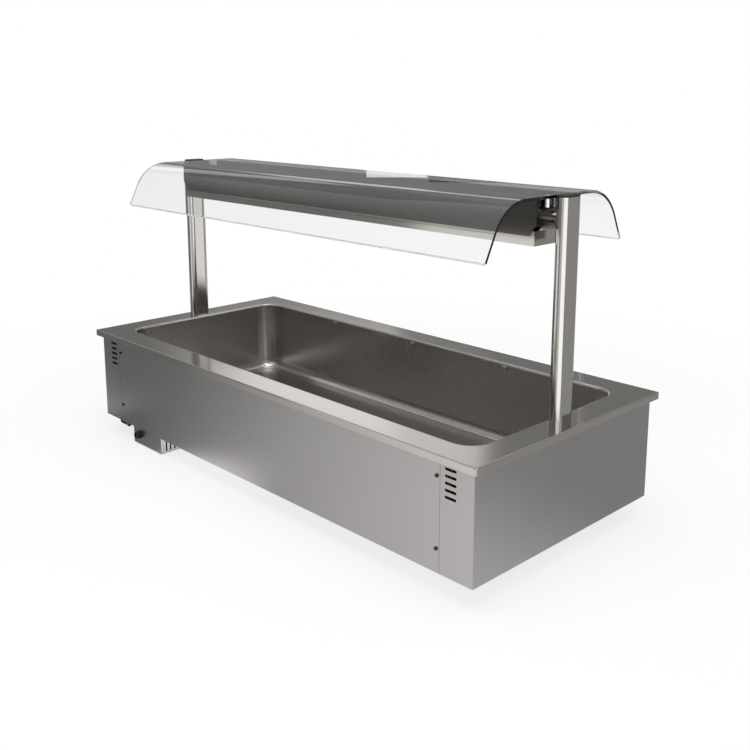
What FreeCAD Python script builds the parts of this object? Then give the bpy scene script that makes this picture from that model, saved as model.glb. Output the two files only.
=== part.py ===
import FreeCAD, Part
import math
import os

# Drop-in heated food well with a glass-topped gantry, four pan modules long.
# Millimetres. X runs along the well, Y away from the service front, Z up.
# The origin is the centre of the counter cut-out, level with the worktop.

V = FreeCAD.Vector

# Pan modules and the well
pan_module = 325.0
pan_count = 4
opening_width = 510.0
well_corner = 50.0
well_depth = 210.0
well_floor_fillet = 25.0
well_roll = 6.0
well_sheet = 1.2
clip_length = 14.0
clip_height = 8.0
clip_reach = 3.0

# Deck
side_land = 57.5
under_room = 46.0
deck_overhang = 15.0
deck_rise = 16.0
deck_sheet = 1.5
deck_corner = 4.0
deck_edge_round = 2.5

# Casing panels
panel_sheet = 1.0
end_return = 87.0
seam_gap = 0.8
backing_reach = 20.0
backing_lap = 6.0
left_return_rise = 3.0
vent_count = 5
vent_length = 30.0
vent_height = 6.0
vent_pitch = 14.6
vent_end_inset = 45.0
vent_top_drop = 11.0
panel_screw_inset = 9.0
panel_screw_drop = 35.0
panel_screw_rise = 51.5
base_sheet = 1.2
base_flange = 15.0
rail_leg = 20.0
rail_sheet = 1.5

# Screws: clearance hole, shank and head
small_screw_radius = 2.0
small_screw_grip = 6.0
small_head_radius = 4.0
small_head_height = 2.2

# Drain: waste fitting, quarter-turn valve and its lever
drain_inset = 50.0
waste_flange_radius = 21.0
waste_flange_height = 2.0
waste_tube_radius = 13.2
waste_bore_radius = 10.0
waste_hole_gap = 0.3
gasket_height = 2.0
gasket_radius = 20.0
backnut_height = 6.0
backnut_flat_radius = 17.0
strainer_radius = 17.0
strainer_height = 1.5
strainer_stub = 12.0
strainer_stub_gap = 0.4
strainer_stub_wall = 1.5
strainer_hole_count = 8
strainer_hole_radius = 1.0
strainer_hole_circle = 6.5
strainer_knob_radius = 3.5
strainer_knob_height = 8.0
strainer_knob_round = 1.5
valve_drop = 8.0
valve_flat_radius = 17.0
valve_collar = 10.0
valve_barrel_radius = 18.0
valve_barrel_reach = 12.0
valve_top_reach = 22.0
outlet_radius = 13.2
outlet_reach = 37.0
ball_radius = 14.0
ball_gap = 0.2
boss_radius = 10.0
boss_reach = 30.0
stem_radius = 5.0
stem_gap = 0.05
key_depth = 1.5
key_half_length = 4.3
key_half_thick = 2.5
lever_setback = 8.0
lever_thick = 4.0
lever_hub_radius = 7.5
lever_reach = 45.0
lever_tip_radius = 5.5
lever_screw_head = 4.5
lever_screw_height = 3.0
lever_screw_radius = 2.5
lever_screw_grip = 10.0
valve_cut_gap = 10.0

# Heat: element, clamp bars, studs, probe and cut-out switch
element_radius = 4.25
element_side_room = 105.0
element_runs = 4
element_drain_room = 130.0
element_end_room = 90.0
terminal_radius = 2.0
terminal_length = 20.0
clamp_count = 4
clamp_width = 20.0
clamp_height = 2.0
clamp_overhang = 24.0
clamp_end_room = 135.0
stud_radius = 2.5
stud_inset = 9.0
stud_tail = 6.0
nut_radius = 4.6
nut_height = 4.0
probe_radius = 3.0
probe_length = 90.0
probe_from_start = 220.0
capillary_radius = 1.0
capillary_bend = 10.0
capillary_from_start = 40.0
cutout_radius = 12.0
cutout_height = 14.0
cutout_ear = 18.0
cutout_ear_height = 1.5
cutout_x = 60.0
insulation_air_gap = 30.3
insulation_end_gap = 3.0
insulation_floor_gap = 1.0
insulation_drain_gap = 35.0

# Control box under the base
box_from_drain = 45.0
box_length = 143.0
box_height = 45.0
box_depth = 230.0
box_sheet = 1.0
box_flange = 12.0
louvre_first = 17.0
louvre_back_room = 44.0
louvre_width = 4.5
louvre_count = 14
louvre_margin = 6.0
pass_radius = 12.0
box_screw_inset = 16.0
gland_from_box_end = 32.0
gland_drop = 16.0
gland_radius = 10.0
gland_reach = 15.0
gland_bore = 4.5
gland_thread_radius = 8.0
gland_thread_length = 9.0
gland_nut_height = 4.0
gland_hex_share = 0.45
knob_radius = 14.0
knob_height = 13.0
knob_gap = 0.8
knob_flutes = 16
knob_flute_radius = 1.2
knob_share = 0.79
spindle_radius = 3.0
spindle_gap = 0.05
thermostat_size = 32.0
thermostat_depth = 28.0
switch_shares = (0.22, 0.48)
switch_length = 34.0
switch_width = 25.0
switch_bezel = 2.0
switch_body_length = 31.0
switch_body_width = 21.0
switch_depth = 24.0
rocker_length = 26.0
rocker_width = 17.0
rocker_thick = 7.0
rocker_window_gap = 1.5
rocker_well = 11.0
rocker_tilt = 10.0
rocker_pin_radius = 1.5
rocker_pin_length = 20.4
rocker_pin_gap = 0.05
terminal_block_length = 80.0
terminal_block_width = 24.0
terminal_block_height = 18.0

# Gantry posts
post_width = 30.0
post_depth = 60.0
post_wall = 2.0
post_well_gap = 9.5
post_inset = 30.5
post_top = 491.0
cap_height = 4.5
cap_plug = 12.0
cap_plug_gap = 0.1
foot_height = 8.0
post_plate_length = 90.0
post_plate_width = 40.0
post_plate_height = 3.0
post_bolt_radius = 4.0
post_bolt_spread = 14.0
post_bolt_head = 7.5
post_bolt_head_height = 5.3
post_bolt_grip = 7.0

# Gantry housing, lamps and glass
skin_post_gap = 20.0
skin_half_width = 58.0
skin_sheet = 1.5
skin_height = 77.0
skin_glass_gap = 0.7
web_drop = 24.0
skin_cut_length = 17.0
skin_cut_height = 28.0
housing_setback = 5.0
end_plate_gap = 8.0
end_plate_flange = 6.0
tray_lap = 11.0
tray_height = 31.0
tray_sheet = 1.2
tray_gap = 0.2
window_end_margin = 80.0
window_side_margin = 14.0
reflector_sheet = 0.8
reflector_lap = 4.0
reflector_slope = 23.0
reflector_proud = 7.0
lamp_count = 4
lamp_gap = 46.5
lamp_radius = 5.0
lamp_drop = 20.0
holder_length = 12.0
holder_width = 20.0
holder_below = 9.0
guard_wire = 1.5
guard_bar = 1.1
guard_end = 6.0
guard_bars = 28
guard_lap = 3.0
saddle_radius = 12.0
gantry_bolt_radius = 4.0
gantry_bolt_head = 6.5
gantry_bolt_head_height = 4.0
gantry_bolt_tail = 6.0
glass_post_gap = 6.0
glass_thick = 6.0
glass_proud = 2.7
glass_flat_half = 114.0
glass_bend = 105.0
glass_turn = 64.0
glass_leg = 63.0
standoff_radius = 17.0
standoff_inset = 17.0
standoff_groove = 1.5
standoff_groove_height = 3.0
standoff_gasket_height = 3.0
standoff_screw_radius = 3.0
standoff_screw_grip = 12.0
standoff_head_radius = 5.5
standoff_head_height = 3.0

# One overrun for every cut, the smallest length that counts, and a nut's sides
overrun = 5.0
hair = 0.01
hexagon_sides = 6

# Worked out from the sizes above
opening_length = pan_module * pan_count
post_x = opening_length / 2 + post_well_gap + post_width / 2
half_length = post_x + post_inset
half_width = opening_width / 2 + side_land
well_floor = deck_rise - well_depth
well_under = well_floor - well_sheet
base_level = well_floor - under_room
base_top = base_level + base_sheet
deck_under = deck_rise - deck_sheet
panel_screw_levels = (-panel_screw_drop, base_level + panel_screw_rise)
drain_x = -(opening_length / 2 - drain_inset)
drain_y = -(opening_width / 2 - drain_inset)
valve_z = base_level - valve_drop
box_left = drain_x + box_from_drain
box_right = box_left + box_length
box_front = -half_width
box_back = box_front + box_depth
box_low = base_level - box_height
box_mid = base_level - box_height / 2
louvre_pitch = (box_depth - louvre_first - louvre_back_room) / (louvre_count - 1)
element_pitch = (opening_width - 2 * element_side_room) / (element_runs - 1)
element_start = -opening_length / 2 + element_drain_room
element_end = opening_length / 2 - element_end_room
clamp_spacing = (element_end - element_start - 2 * clamp_end_room) / (clamp_count - 1)
probe_start = element_start + probe_from_start
capillary_drop_x = element_start + capillary_from_start
capillary_y = -element_pitch
wall_room = half_width - panel_sheet - opening_width / 2 - well_sheet
insulation_thick = wall_room - insulation_air_gap
post_face_x = post_x - post_width / 2
skin_half_length = post_face_x - skin_post_gap
housing_half_length = skin_half_length - housing_setback
glass_half_length = post_face_x - glass_post_gap
glass_top = post_top + glass_proud
skin_high = glass_top - glass_thick - skin_glass_gap
skin_low = skin_high - skin_height
skin_web_top = skin_high - web_drop
tray_high = skin_low + tray_lap
tray_low = tray_high - tray_height
end_plate_low = tray_high + end_plate_gap
saddle_level = (end_plate_low + skin_web_top) / 2
window_half_length = housing_half_length - window_end_margin
window_half_width = skin_half_width - window_side_margin
reflector_low_half = window_half_width + reflector_lap
reflector_high_half = reflector_low_half - reflector_slope
reflector_top = tray_high + reflector_proud
lamp_pitch = 2 * window_half_length / lamp_count
lamp_length = lamp_pitch - lamp_gap
lamp_level = reflector_top - lamp_drop
guard_half_width = window_half_width + guard_lap


def box(x_low, x_high, y_low, y_high, z_low, z_high):
    """Block between two opposite corners."""
    corner = V(x_low, y_low, z_low)
    return Part.makeBox(x_high - x_low, y_high - y_low, z_high - z_low, corner)


def rod(radius, start, end):
    """Round bar between two points."""
    run = end.sub(start)
    return Part.makeCylinder(radius, run.Length, start, run)


def rounded_prism(length, width, radius, z_low, z_high):
    """Upright block with round vertical corners, centred on the origin."""
    block = box(-length / 2, length / 2, -width / 2, width / 2, z_low, z_high)
    upright = [edge for edge in block.Edges if edge.BoundBox.ZLength > hair]
    return block.makeFillet(radius, upright)


def flat_oval(width, depth, middle, height):
    """Upright bar with two flat sides and two half-round ends, from a point up."""
    bend = width / 2
    flat = depth / 2 - bend
    front = middle.add(V(0, -flat, 0))
    back = middle.add(V(0, flat, 0))
    edges = [
        Part.LineSegment(front.add(V(bend, 0, 0)), back.add(V(bend, 0, 0))).toShape(),
        Part.Arc(back.add(V(bend, 0, 0)), back.add(V(0, bend, 0)), back.add(V(-bend, 0, 0))).toShape(),
        Part.LineSegment(back.add(V(-bend, 0, 0)), front.add(V(-bend, 0, 0))).toShape(),
        Part.Arc(front.add(V(-bend, 0, 0)), front.add(V(0, -bend, 0)), front.add(V(bend, 0, 0))).toShape()]
    return Part.Face(Part.Wire(edges)).extrude(V(0, 0, height))


def level_edges(shape, level):
    """Edges that lie flat at one height."""
    found = []
    for edge in shape.Edges:
        span = edge.BoundBox
        if abs(span.ZMin - level) < hair and abs(span.ZMax - level) < hair:
            found.append(edge)
    return found


def hexagon(flat_radius, start, end):
    """Six-sided bar between two points, sized to its flats."""
    run = end.sub(start)
    corner_radius = flat_radius / math.cos(math.pi / hexagon_sides)
    turn = FreeCAD.Rotation(V(0, 0, 1), run)
    corners = []
    for step in range(hexagon_sides + 1):
        angle = 2 * math.pi * step / hexagon_sides
        spoke = V(corner_radius * math.cos(angle), corner_radius * math.sin(angle), 0)
        corners.append(start.add(turn.multVec(spoke)))
    return Part.Face(Part.makePolygon(corners)).extrude(run)


def prism_along_x(profile, x_low, x_high):
    """Closed outline of (y, z) points drawn out along X."""
    points = [V(x_low, y, z) for y, z in profile]
    points.append(points[0])
    return Part.Face(Part.makePolygon(points)).extrude(V(x_high - x_low, 0, 0))


def other_end(shape):
    """The same piece at the opposite end of the unit."""
    return shape.mirror(V(0, 0, 0), V(1, 0, 0))


def other_side(shape):
    """The same piece at the opposite long side of the unit."""
    return shape.mirror(V(0, 0, 0), V(0, 1, 0))


def join(shapes):
    """One solid from touching shapes."""
    whole = shapes[0]
    for shape in shapes[1:]:
        whole = whole.fuse(shape)
    return whole.removeSplitter()


def group(shapes):
    """Separate solids kept together in one node."""
    return Part.makeCompound(shapes)


def save(name, shape):
    """Write one node."""
    shape.exportStep("parts/" + name + ".step")


# Deck and well


def drain_point(level):
    """Point on the drain's axis."""
    return V(drain_x, drain_y, level)


def post_point(side, level):
    """Point on a post's axis."""
    return V(side * post_x, 0, level)


def deck_top():
    """Flanged deck with its edge turned down to the worktop."""
    length = 2 * (half_length + deck_overhang)
    width = 2 * (half_width + deck_overhang)
    deck = rounded_prism(length, width, deck_corner, 0, deck_rise)
    deck = deck.makeFillet(deck_edge_round, level_edges(deck, deck_rise))
    inside = rounded_prism(length - 2 * deck_sheet, width - 2 * deck_sheet,
                           deck_corner - deck_sheet, -overrun, deck_under)
    mouth = rounded_prism(opening_length + 2 * well_roll, opening_width + 2 * well_roll,
                          well_corner + well_roll, 0, deck_rise + overrun)
    deck = deck.cut(inside).cut(mouth)
    for side in (-1, 1):
        for way in (-1, 1):
            foot = post_point(side, 0).add(V(0, way * post_bolt_spread, 0))
            deck = deck.cut(rod(post_bolt_radius, foot, foot.add(V(0, 0, deck_rise + overrun))))
    return deck


def well_space(grow):
    """Room inside the well, grown all round, with its floor fillet and rolled mouth."""
    length = opening_length + 2 * grow
    width = opening_width + 2 * grow
    pocket = rounded_prism(length, width, well_corner + grow, well_floor - grow, deck_rise)
    pocket = pocket.makeFillet(well_floor_fillet + grow, level_edges(pocket, well_floor - grow))
    reach = 2 * (well_roll + overrun)
    rim_top = deck_rise - grow
    rim = rounded_prism(opening_length + reach, opening_width + reach,
                        well_corner + reach / 2, deck_rise - reach, rim_top)
    hole = rounded_prism(length, width, well_corner + grow, deck_rise - 2 * reach, deck_rise + overrun)
    rim = rim.cut(hole)
    inner = [edge for edge in level_edges(rim, rim_top)
             if edge.BoundBox.XMax < length / 2 + hair and edge.BoundBox.XMin > -length / 2 - hair
             and edge.BoundBox.YMax < width / 2 + hair and edge.BoundBox.YMin > -width / 2 - hair]
    rim = rim.makeFillet(well_roll - grow, inner)
    mouth = rounded_prism(opening_length + 2 * well_roll, opening_width + 2 * well_roll,
                          well_corner + well_roll, deck_rise - well_roll, deck_rise)
    return pocket.fuse(mouth.cut(rim))


def tank():
    """Pressed well with a rolled rim that meets the deck."""
    shell = well_space(well_sheet).cut(well_space(0))
    outlet = rod(waste_tube_radius + waste_hole_gap, drain_point(well_under - overrun),
                 drain_point(well_floor + overrun))
    return shell.cut(outlet)


def gn_clips():
    """Bar clips on the long walls at the pan-module boundaries."""
    clips = []
    wall = opening_width / 2
    for step in range(1, pan_count):
        middle = step * pan_module - opening_length / 2
        clip = box(middle - clip_length / 2, middle + clip_length / 2,
                   wall - clip_reach, wall, 0, clip_height)
        front_edge = [edge for edge in clip.Edges
                      if edge.BoundBox.YMax < wall - clip_reach + hair
                      and edge.BoundBox.ZMin > clip_height - hair]
        clip = clip.makeChamfer(clip_reach / 2, front_edge)
        clips.append(clip)
        clips.append(other_side(clip))
    return group(clips)


# Casing


def panel_screw_points(side):
    """Where the service-panel screws sit, on the face of one long side."""
    across = half_length - end_return - panel_screw_inset
    points = []
    for level in panel_screw_levels:
        for way in (-1, 1):
            points.append(V(way * across, side * half_width, level))
    return points


def panel_screw_holes():
    """Cutters for every service-panel screw, through one side of the casing."""
    cutters = []
    for side in (-1, 1):
        for point in panel_screw_points(side):
            outward = V(0, side * overrun, 0)
            inward = V(0, -side * small_screw_grip, 0)
            cutters.append(rod(small_screw_radius, point.add(outward), point.add(inward)))
    return cutters


def service_panel():
    """Removable panel between the two folded ends, drawn at the front."""
    half = half_length - end_return - seam_gap
    panel = box(-half, half, -half_width, -half_width + panel_sheet, base_level, deck_under)
    for cutter in panel_screw_holes():
        panel = panel.cut(cutter)
    return panel


def end_panel():
    """Right end folded round both corners, with backing strips and vents."""
    inner_x = half_length - panel_sheet
    inner_y = half_width - panel_sheet
    seam = half_length - end_return
    fold = box(seam, half_length, -half_width, half_width, base_level, deck_under)
    fold = fold.cut(box(seam - overrun, inner_x, -inner_y, inner_y,
                        base_level - overrun, deck_under + overrun))
    strip = box(seam - backing_reach, seam + backing_lap, -inner_y, -inner_y + panel_sheet,
                base_level + base_flange + base_sheet, deck_under - rail_leg - rail_sheet)
    panel = join([fold, strip, other_side(strip)])
    for row in range(vent_count):
        top = -vent_top_drop - row * vent_pitch
        middle = top - vent_height / 2
        outer = half_length - vent_end_inset - vent_height / 2
        inner = half_length - vent_end_inset - vent_length + vent_height / 2
        reach = half_width + overrun
        slot = box(inner, outer, -reach, reach, top - vent_height, top)
        for x in (inner, outer):
            slot = slot.fuse(rod(vent_height / 2, V(x, -reach, middle), V(x, reach, middle)))
        panel = panel.cut(slot)
    for cutter in panel_screw_holes():
        panel = panel.cut(cutter)
    return panel


def left_end_panel():
    """Left end, whose front return stops a little short of the base."""
    panel = other_end(end_panel())
    trim = box(-half_length + panel_sheet, -half_length + end_return + overrun,
               -half_width - overrun, -half_width + panel_sheet,
               base_level - overrun, base_level + left_return_rise)
    return panel.cut(trim)


def panel_screws():
    """Pan-head screws that hold the two service panels."""
    screws = []
    for side in (-1, 1):
        for point in panel_screw_points(side):
            head = rod(small_head_radius, point, point.add(V(0, side * small_head_height, 0)))
            shank = rod(small_screw_radius, point, point.add(V(0, -side * small_screw_grip, 0)))
            screws.append(join([head, shank]))
    return group(screws)


def base_panel():
    """Bottom tray with upturned edges, open round the valve and the box pass."""
    x = half_length - panel_sheet
    y = half_width - panel_sheet
    tray = box(-x, x, -y, y, base_level, base_top + base_flange)
    tray = tray.cut(box(-x + base_sheet, x - base_sheet, -y + base_sheet, y - base_sheet,
                        base_top, base_top + base_flange + overrun))
    round_valve = valve_barrel_radius + valve_cut_gap
    tray = tray.cut(rod(round_valve, drain_point(base_level - overrun), drain_point(base_top + overrun)))
    tray = tray.cut(box(drain_x - boss_radius - lever_tip_radius, drain_x + boss_radius + lever_tip_radius,
                        drain_y - boss_reach - valve_cut_gap, drain_y,
                        base_level - overrun, base_top + overrun))
    tray = tray.cut(rod(pass_radius, V(capillary_drop_x, capillary_y, base_level - overrun),
                        V(capillary_drop_x, capillary_y, base_top + overrun)))
    for point in box_screw_points():
        tray = tray.cut(rod(small_screw_radius, point.add(V(0, 0, -overrun)), point.add(V(0, 0, overrun))))
    return tray


def side_rails():
    """Long angles that carry the deck at the service panels."""
    x = half_length - panel_sheet - rail_leg - rail_sheet
    y = half_width - panel_sheet
    upright = box(-x, x, -y, -y + rail_sheet, deck_under - rail_leg, deck_under)
    flat = box(-x, x, -y, -y + rail_leg, deck_under - rail_sheet, deck_under)
    rail = join([upright, flat])
    return group([rail, other_side(rail)])


def end_rails():
    """Short angles at the ends, notched for the post plates."""
    x = half_length - panel_sheet
    y = half_width - panel_sheet
    upright = box(x - rail_sheet, x, -y, y, deck_under - rail_leg, deck_under)
    flat = box(x - rail_leg, x, -y, y, deck_under - rail_sheet, deck_under)
    rail = join([upright, flat])
    notch = post_plate_length / 2 + rail_sheet
    rail = rail.cut(box(x - rail_leg - overrun, x - rail_sheet, -notch, notch,
                        deck_under - rail_leg, deck_under + overrun))
    return group([rail, other_end(rail)])


# Control box


def box_screw_points():
    """Corners where the control box is screwed to the base."""
    points = []
    for x in (box_left + box_screw_inset, box_right - box_screw_inset):
        for y in (box_front + box_screw_inset, box_back - box_screw_inset):
            points.append(V(x, y, base_level))
    return points


def box_pass(low, high):
    """Cutter for the hole that the capillary and the wires pass through."""
    return rod(pass_radius, V(capillary_drop_x, capillary_y, low), V(capillary_drop_x, capillary_y, high))


def switch_point(place):
    """Middle of one switch on the left face of the control box."""
    return V(box_left, box_front + switch_shares[place] * box_depth, box_mid)


def knob_point():
    """Middle of the knob on the left face of the control box."""
    return V(box_left, box_front + knob_share * box_depth, box_mid)


def gland_point():
    """Middle of the cable gland on the front of the control box."""
    return V(box_left + gland_from_box_end, box_front, base_level - gland_drop)


def control_box():
    """Folded box with louvres on its right face and controls on its left."""
    shell = box(box_left, box_right, box_front, box_back, box_low, base_level)
    shell = shell.cut(box(box_left + box_sheet, box_right - box_sheet,
                          box_front + box_sheet, box_back - box_sheet,
                          box_low - overrun, base_level - box_sheet))
    flange = box(box_left + box_sheet, box_right - box_sheet,
                 box_front + box_sheet, box_front + box_flange,
                 box_low + box_sheet, box_low + 2 * box_sheet)
    far_flange = flange.translated(V(0, box_depth - box_flange - box_sheet, 0))
    shell = join([shell, flange, far_flange])
    for step in range(louvre_count):
        middle = box_front + louvre_first + step * louvre_pitch
        shell = shell.cut(box(box_right - box_sheet - overrun, box_right + overrun,
                              middle - louvre_width / 2, middle + louvre_width / 2,
                              box_low + louvre_margin, base_level - louvre_margin))
    for place in range(len(switch_shares)):
        middle = switch_point(place)
        shell = shell.cut(box(middle.x - overrun, middle.x + overrun,
                              middle.y - switch_body_length / 2, middle.y + switch_body_length / 2,
                              middle.z - switch_body_width / 2, middle.z + switch_body_width / 2))
    reach = V(overrun, 0, 0)
    shell = shell.cut(rod(spindle_radius + spindle_gap, knob_point().sub(reach), knob_point().add(reach)))
    depth = V(0, overrun, 0)
    shell = shell.cut(rod(gland_thread_radius, gland_point().sub(depth), gland_point().add(depth)))
    for point in box_screw_points():
        shell = shell.cut(rod(small_screw_radius, point.add(V(0, 0, -overrun)),
                              point.add(V(0, 0, overrun))))
    for point in lid_screw_points():
        rise = V(0, 0, 2 * box_sheet + overrun)
        shell = shell.cut(rod(small_screw_radius, point, point.add(rise)))
    return shell.cut(box_pass(base_level - overrun, base_level + overrun))


def lid_screw_points():
    """Where the lid is screwed to the flanges of the box."""
    points = []
    for x in (box_left + box_screw_inset, box_right - box_screw_inset):
        for y in (box_front + box_flange / 2, box_back - box_flange / 2):
            points.append(V(x, y, box_low))
    return points


def control_box_lid():
    """Bottom plate of the control box."""
    lid = box(box_left + box_sheet, box_right - box_sheet,
              box_front + box_sheet, box_back - box_sheet, box_low, box_low + box_sheet)
    for point in lid_screw_points():
        lid = lid.cut(rod(small_screw_radius, point.add(V(0, 0, -overrun)), point.add(V(0, 0, overrun))))
    return lid


def box_screws():
    """Screws that hold the box to the base and the lid to the box."""
    screws = []
    for point in box_screw_points():
        face = point.add(V(0, 0, -box_sheet))
        head = rod(small_head_radius, face, face.add(V(0, 0, -small_head_height)))
        shank = rod(small_screw_radius, face, face.add(V(0, 0, small_screw_grip)))
        screws.append(join([head, shank]))
    for point in lid_screw_points():
        head = rod(small_head_radius, point, point.add(V(0, 0, -small_head_height)))
        shank = rod(small_screw_radius, point, point.add(V(0, 0, small_screw_grip)))
        screws.append(join([head, shank]))
    return group(screws)


def cable_gland():
    """Gland on the front of the box, with a domed sleeve and a hexagon."""
    start = gland_point()
    hex_end = start.add(V(0, -gland_reach * gland_hex_share, 0))
    tip = start.add(V(0, -gland_reach, 0))
    inner = start.add(V(0, gland_thread_length, 0))
    sleeve = rod(gland_radius, hex_end, tip)
    rim = [edge for edge in sleeve.Edges if edge.BoundBox.YMax < tip.y + hair]
    sleeve = sleeve.makeFillet(gland_radius - gland_bore - panel_sheet, rim)
    body = join([hexagon(gland_radius, start, hex_end), sleeve, rod(gland_thread_radius, start, inner)])
    return body.cut(rod(gland_bore, tip.add(V(0, -overrun, 0)), inner.add(V(0, overrun, 0))))


def gland_nut():
    """Locknut of the gland, inside the box."""
    start = gland_point().add(V(0, box_sheet, 0))
    end = start.add(V(0, gland_nut_height, 0))
    nut = hexagon(gland_radius, start, end)
    return nut.cut(rod(gland_thread_radius, start.add(V(0, -overrun, 0)), end.add(V(0, overrun, 0))))


def thermostat_body():
    """Thermostat behind the left face of the box."""
    middle = knob_point()
    face = middle.x + box_sheet
    half = thermostat_size / 2
    body = box(face, face + thermostat_depth, middle.y - half, middle.y + half,
               middle.z - half, middle.z + half)
    bore = rod(spindle_radius + spindle_gap, V(face - overrun, middle.y, middle.z),
               V(face + thermostat_depth / 2, middle.y, middle.z))
    return body.cut(bore)


def thermostat_knob():
    """Fluted knob with its spindle."""
    middle = knob_point()
    back = middle.add(V(-knob_gap, 0, 0))
    face = back.add(V(-knob_height, 0, 0))
    knob = rod(knob_radius, back, face)
    for step in range(knob_flutes):
        angle = 2 * math.pi * step / knob_flutes
        place = V(0, knob_radius * math.cos(angle), knob_radius * math.sin(angle))
        knob = knob.cut(rod(knob_flute_radius, back.add(place).add(V(overrun, 0, 0)),
                            face.add(place).add(V(-overrun, 0, 0))))
    spindle = rod(spindle_radius, back, middle.add(V(thermostat_depth / 2, 0, 0)))
    return join([knob, spindle])


def rocker_pivot(place):
    """Axis of one rocker, just inside the box face."""
    return switch_point(place).add(V(rocker_thick / 2 - switch_bezel, 0, 0))


def rocker_pin(place, radius):
    """Upright pin on the axis of one rocker."""
    half = V(0, 0, rocker_pin_length / 2)
    return rod(radius, rocker_pivot(place).sub(half), rocker_pivot(place).add(half))


def switch_body(place):
    """Rocker switch housing with its bezel on the box face."""
    middle = switch_point(place)
    bezel = box(middle.x - switch_bezel, middle.x,
                middle.y - switch_length / 2, middle.y + switch_length / 2,
                middle.z - switch_width / 2, middle.z + switch_width / 2)
    shell = box(middle.x, middle.x + switch_depth,
                middle.y - switch_body_length / 2, middle.y + switch_body_length / 2,
                middle.z - switch_body_width / 2, middle.z + switch_body_width / 2)
    window_y = rocker_length / 2 + rocker_window_gap
    window_z = rocker_width / 2 + rocker_window_gap / 2
    window = box(middle.x - switch_bezel - overrun, middle.x + rocker_well,
                 middle.y - window_y, middle.y + window_y, middle.z - window_z, middle.z + window_z)
    pin = rocker_pin(place, rocker_pin_radius + rocker_pin_gap)
    return join([bezel, shell]).cut(window).cut(pin)


def rocker(place):
    """Rocker tipped to its off position."""
    middle = switch_point(place)
    plate = box(middle.x - switch_bezel - rocker_thick / 2, middle.x - switch_bezel + rocker_thick / 2,
                middle.y - rocker_length / 2, middle.y + rocker_length / 2,
                middle.z - rocker_width / 2, middle.z + rocker_width / 2)
    rounded = [edge for edge in plate.Edges
               if edge.BoundBox.XMax < middle.x - switch_bezel and edge.BoundBox.ZLength > rocker_width / 2]
    plate = plate.makeFillet(rocker_window_gap, rounded)
    plate = plate.rotate(rocker_pivot(place), V(0, 0, 1), rocker_tilt)
    return join([plate, rocker_pin(place, rocker_pin_radius)])


def terminal_block():
    """Terminal strip on the roof of the box."""
    middle = (box_left + box_right) / 2
    back = box_front + box_depth / 2
    block = box(middle - terminal_block_width / 2, middle + terminal_block_width / 2,
                back - terminal_block_length / 2, back + terminal_block_length / 2,
                base_level - box_sheet - terminal_block_height, base_level - box_sheet)
    return block


# Drain


def hex_ring(flat_radius, bore, low, high):
    """Upright hexagon on the drain axis with a round bore."""
    body = hexagon(flat_radius, drain_point(low), drain_point(high))
    return body.cut(rod(bore, drain_point(low - overrun), drain_point(high + overrun)))


def waste_fitting():
    """Flanged waste tube from the well floor down into the valve."""
    flange = rod(waste_flange_radius, drain_point(well_floor),
                 drain_point(well_floor + waste_flange_height))
    top = level_edges(flange, well_floor + waste_flange_height)
    flange = flange.makeFillet(waste_flange_height / 2, top)
    tube = rod(waste_tube_radius, drain_point(valve_z + valve_top_reach - valve_collar),
               drain_point(well_floor))
    bore = rod(waste_bore_radius, drain_point(valve_z - overrun), drain_point(deck_rise))
    return join([flange, tube]).cut(bore)


def waste_gasket():
    """Sealing ring under the well floor."""
    ring = rod(gasket_radius, drain_point(well_under - gasket_height), drain_point(well_under))
    return ring.cut(rod(waste_tube_radius, drain_point(well_under - gasket_height - overrun),
                        drain_point(well_under + overrun)))


def waste_backnut():
    """Nut that pulls the waste fitting down."""
    high = well_under - gasket_height
    return hex_ring(backnut_flat_radius, waste_tube_radius, high - backnut_height, high)


def drain_strainer():
    """Lift-out strainer with a finger knob."""
    low = well_floor + waste_flange_height
    disc = rod(strainer_radius, drain_point(low), drain_point(low + strainer_height))
    knob_top = low + strainer_height + strainer_knob_height
    knob = rod(strainer_knob_radius, drain_point(low + strainer_height), drain_point(knob_top))
    knob = knob.makeFillet(strainer_knob_round, level_edges(knob, knob_top))
    whole = join([disc, knob])
    for step in range(strainer_hole_count):
        angle = 2 * math.pi * step / strainer_hole_count
        place = V(strainer_hole_circle * math.cos(angle), strainer_hole_circle * math.sin(angle), 0)
        whole = whole.cut(rod(strainer_hole_radius, drain_point(low - strainer_height).add(place),
                              drain_point(low + strainer_height + overrun).add(place)))
    return whole


def strainer_collar():
    """Short tube under the strainer that centres it in the drain."""
    low = well_floor + waste_flange_height
    tube = rod(waste_bore_radius - strainer_stub_gap, drain_point(low - strainer_stub), drain_point(low))
    return tube.cut(rod(waste_bore_radius - strainer_stub_gap - strainer_stub_wall,
                        drain_point(low - strainer_stub - overrun), drain_point(low + overrun)))


def valve_body():
    """Upright quarter-turn valve with a threaded outlet below."""
    top = valve_z + valve_top_reach
    low = valve_z - outlet_reach
    collar = hexagon(valve_flat_radius, drain_point(top - valve_collar), drain_point(top))
    barrel = rod(valve_barrel_radius, drain_point(valve_z - valve_barrel_reach),
                 drain_point(top - valve_collar))
    tail = rod(outlet_radius, drain_point(low), drain_point(valve_z - valve_barrel_reach))
    boss_end = drain_point(valve_z).add(V(0, -boss_reach, 0))
    boss = rod(boss_radius, drain_point(valve_z), boss_end)
    body = join([collar, barrel, tail, boss])
    body = body.cut(rod(waste_bore_radius, drain_point(low - overrun), drain_point(top + overrun)))
    body = body.cut(rod(waste_tube_radius, drain_point(top - valve_collar), drain_point(top + overrun)))
    body = body.cut(Part.makeSphere(ball_radius + ball_gap, drain_point(valve_z)))
    return body.cut(rod(stem_radius + stem_gap, drain_point(valve_z), boss_end.add(V(0, -overrun, 0))))


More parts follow.
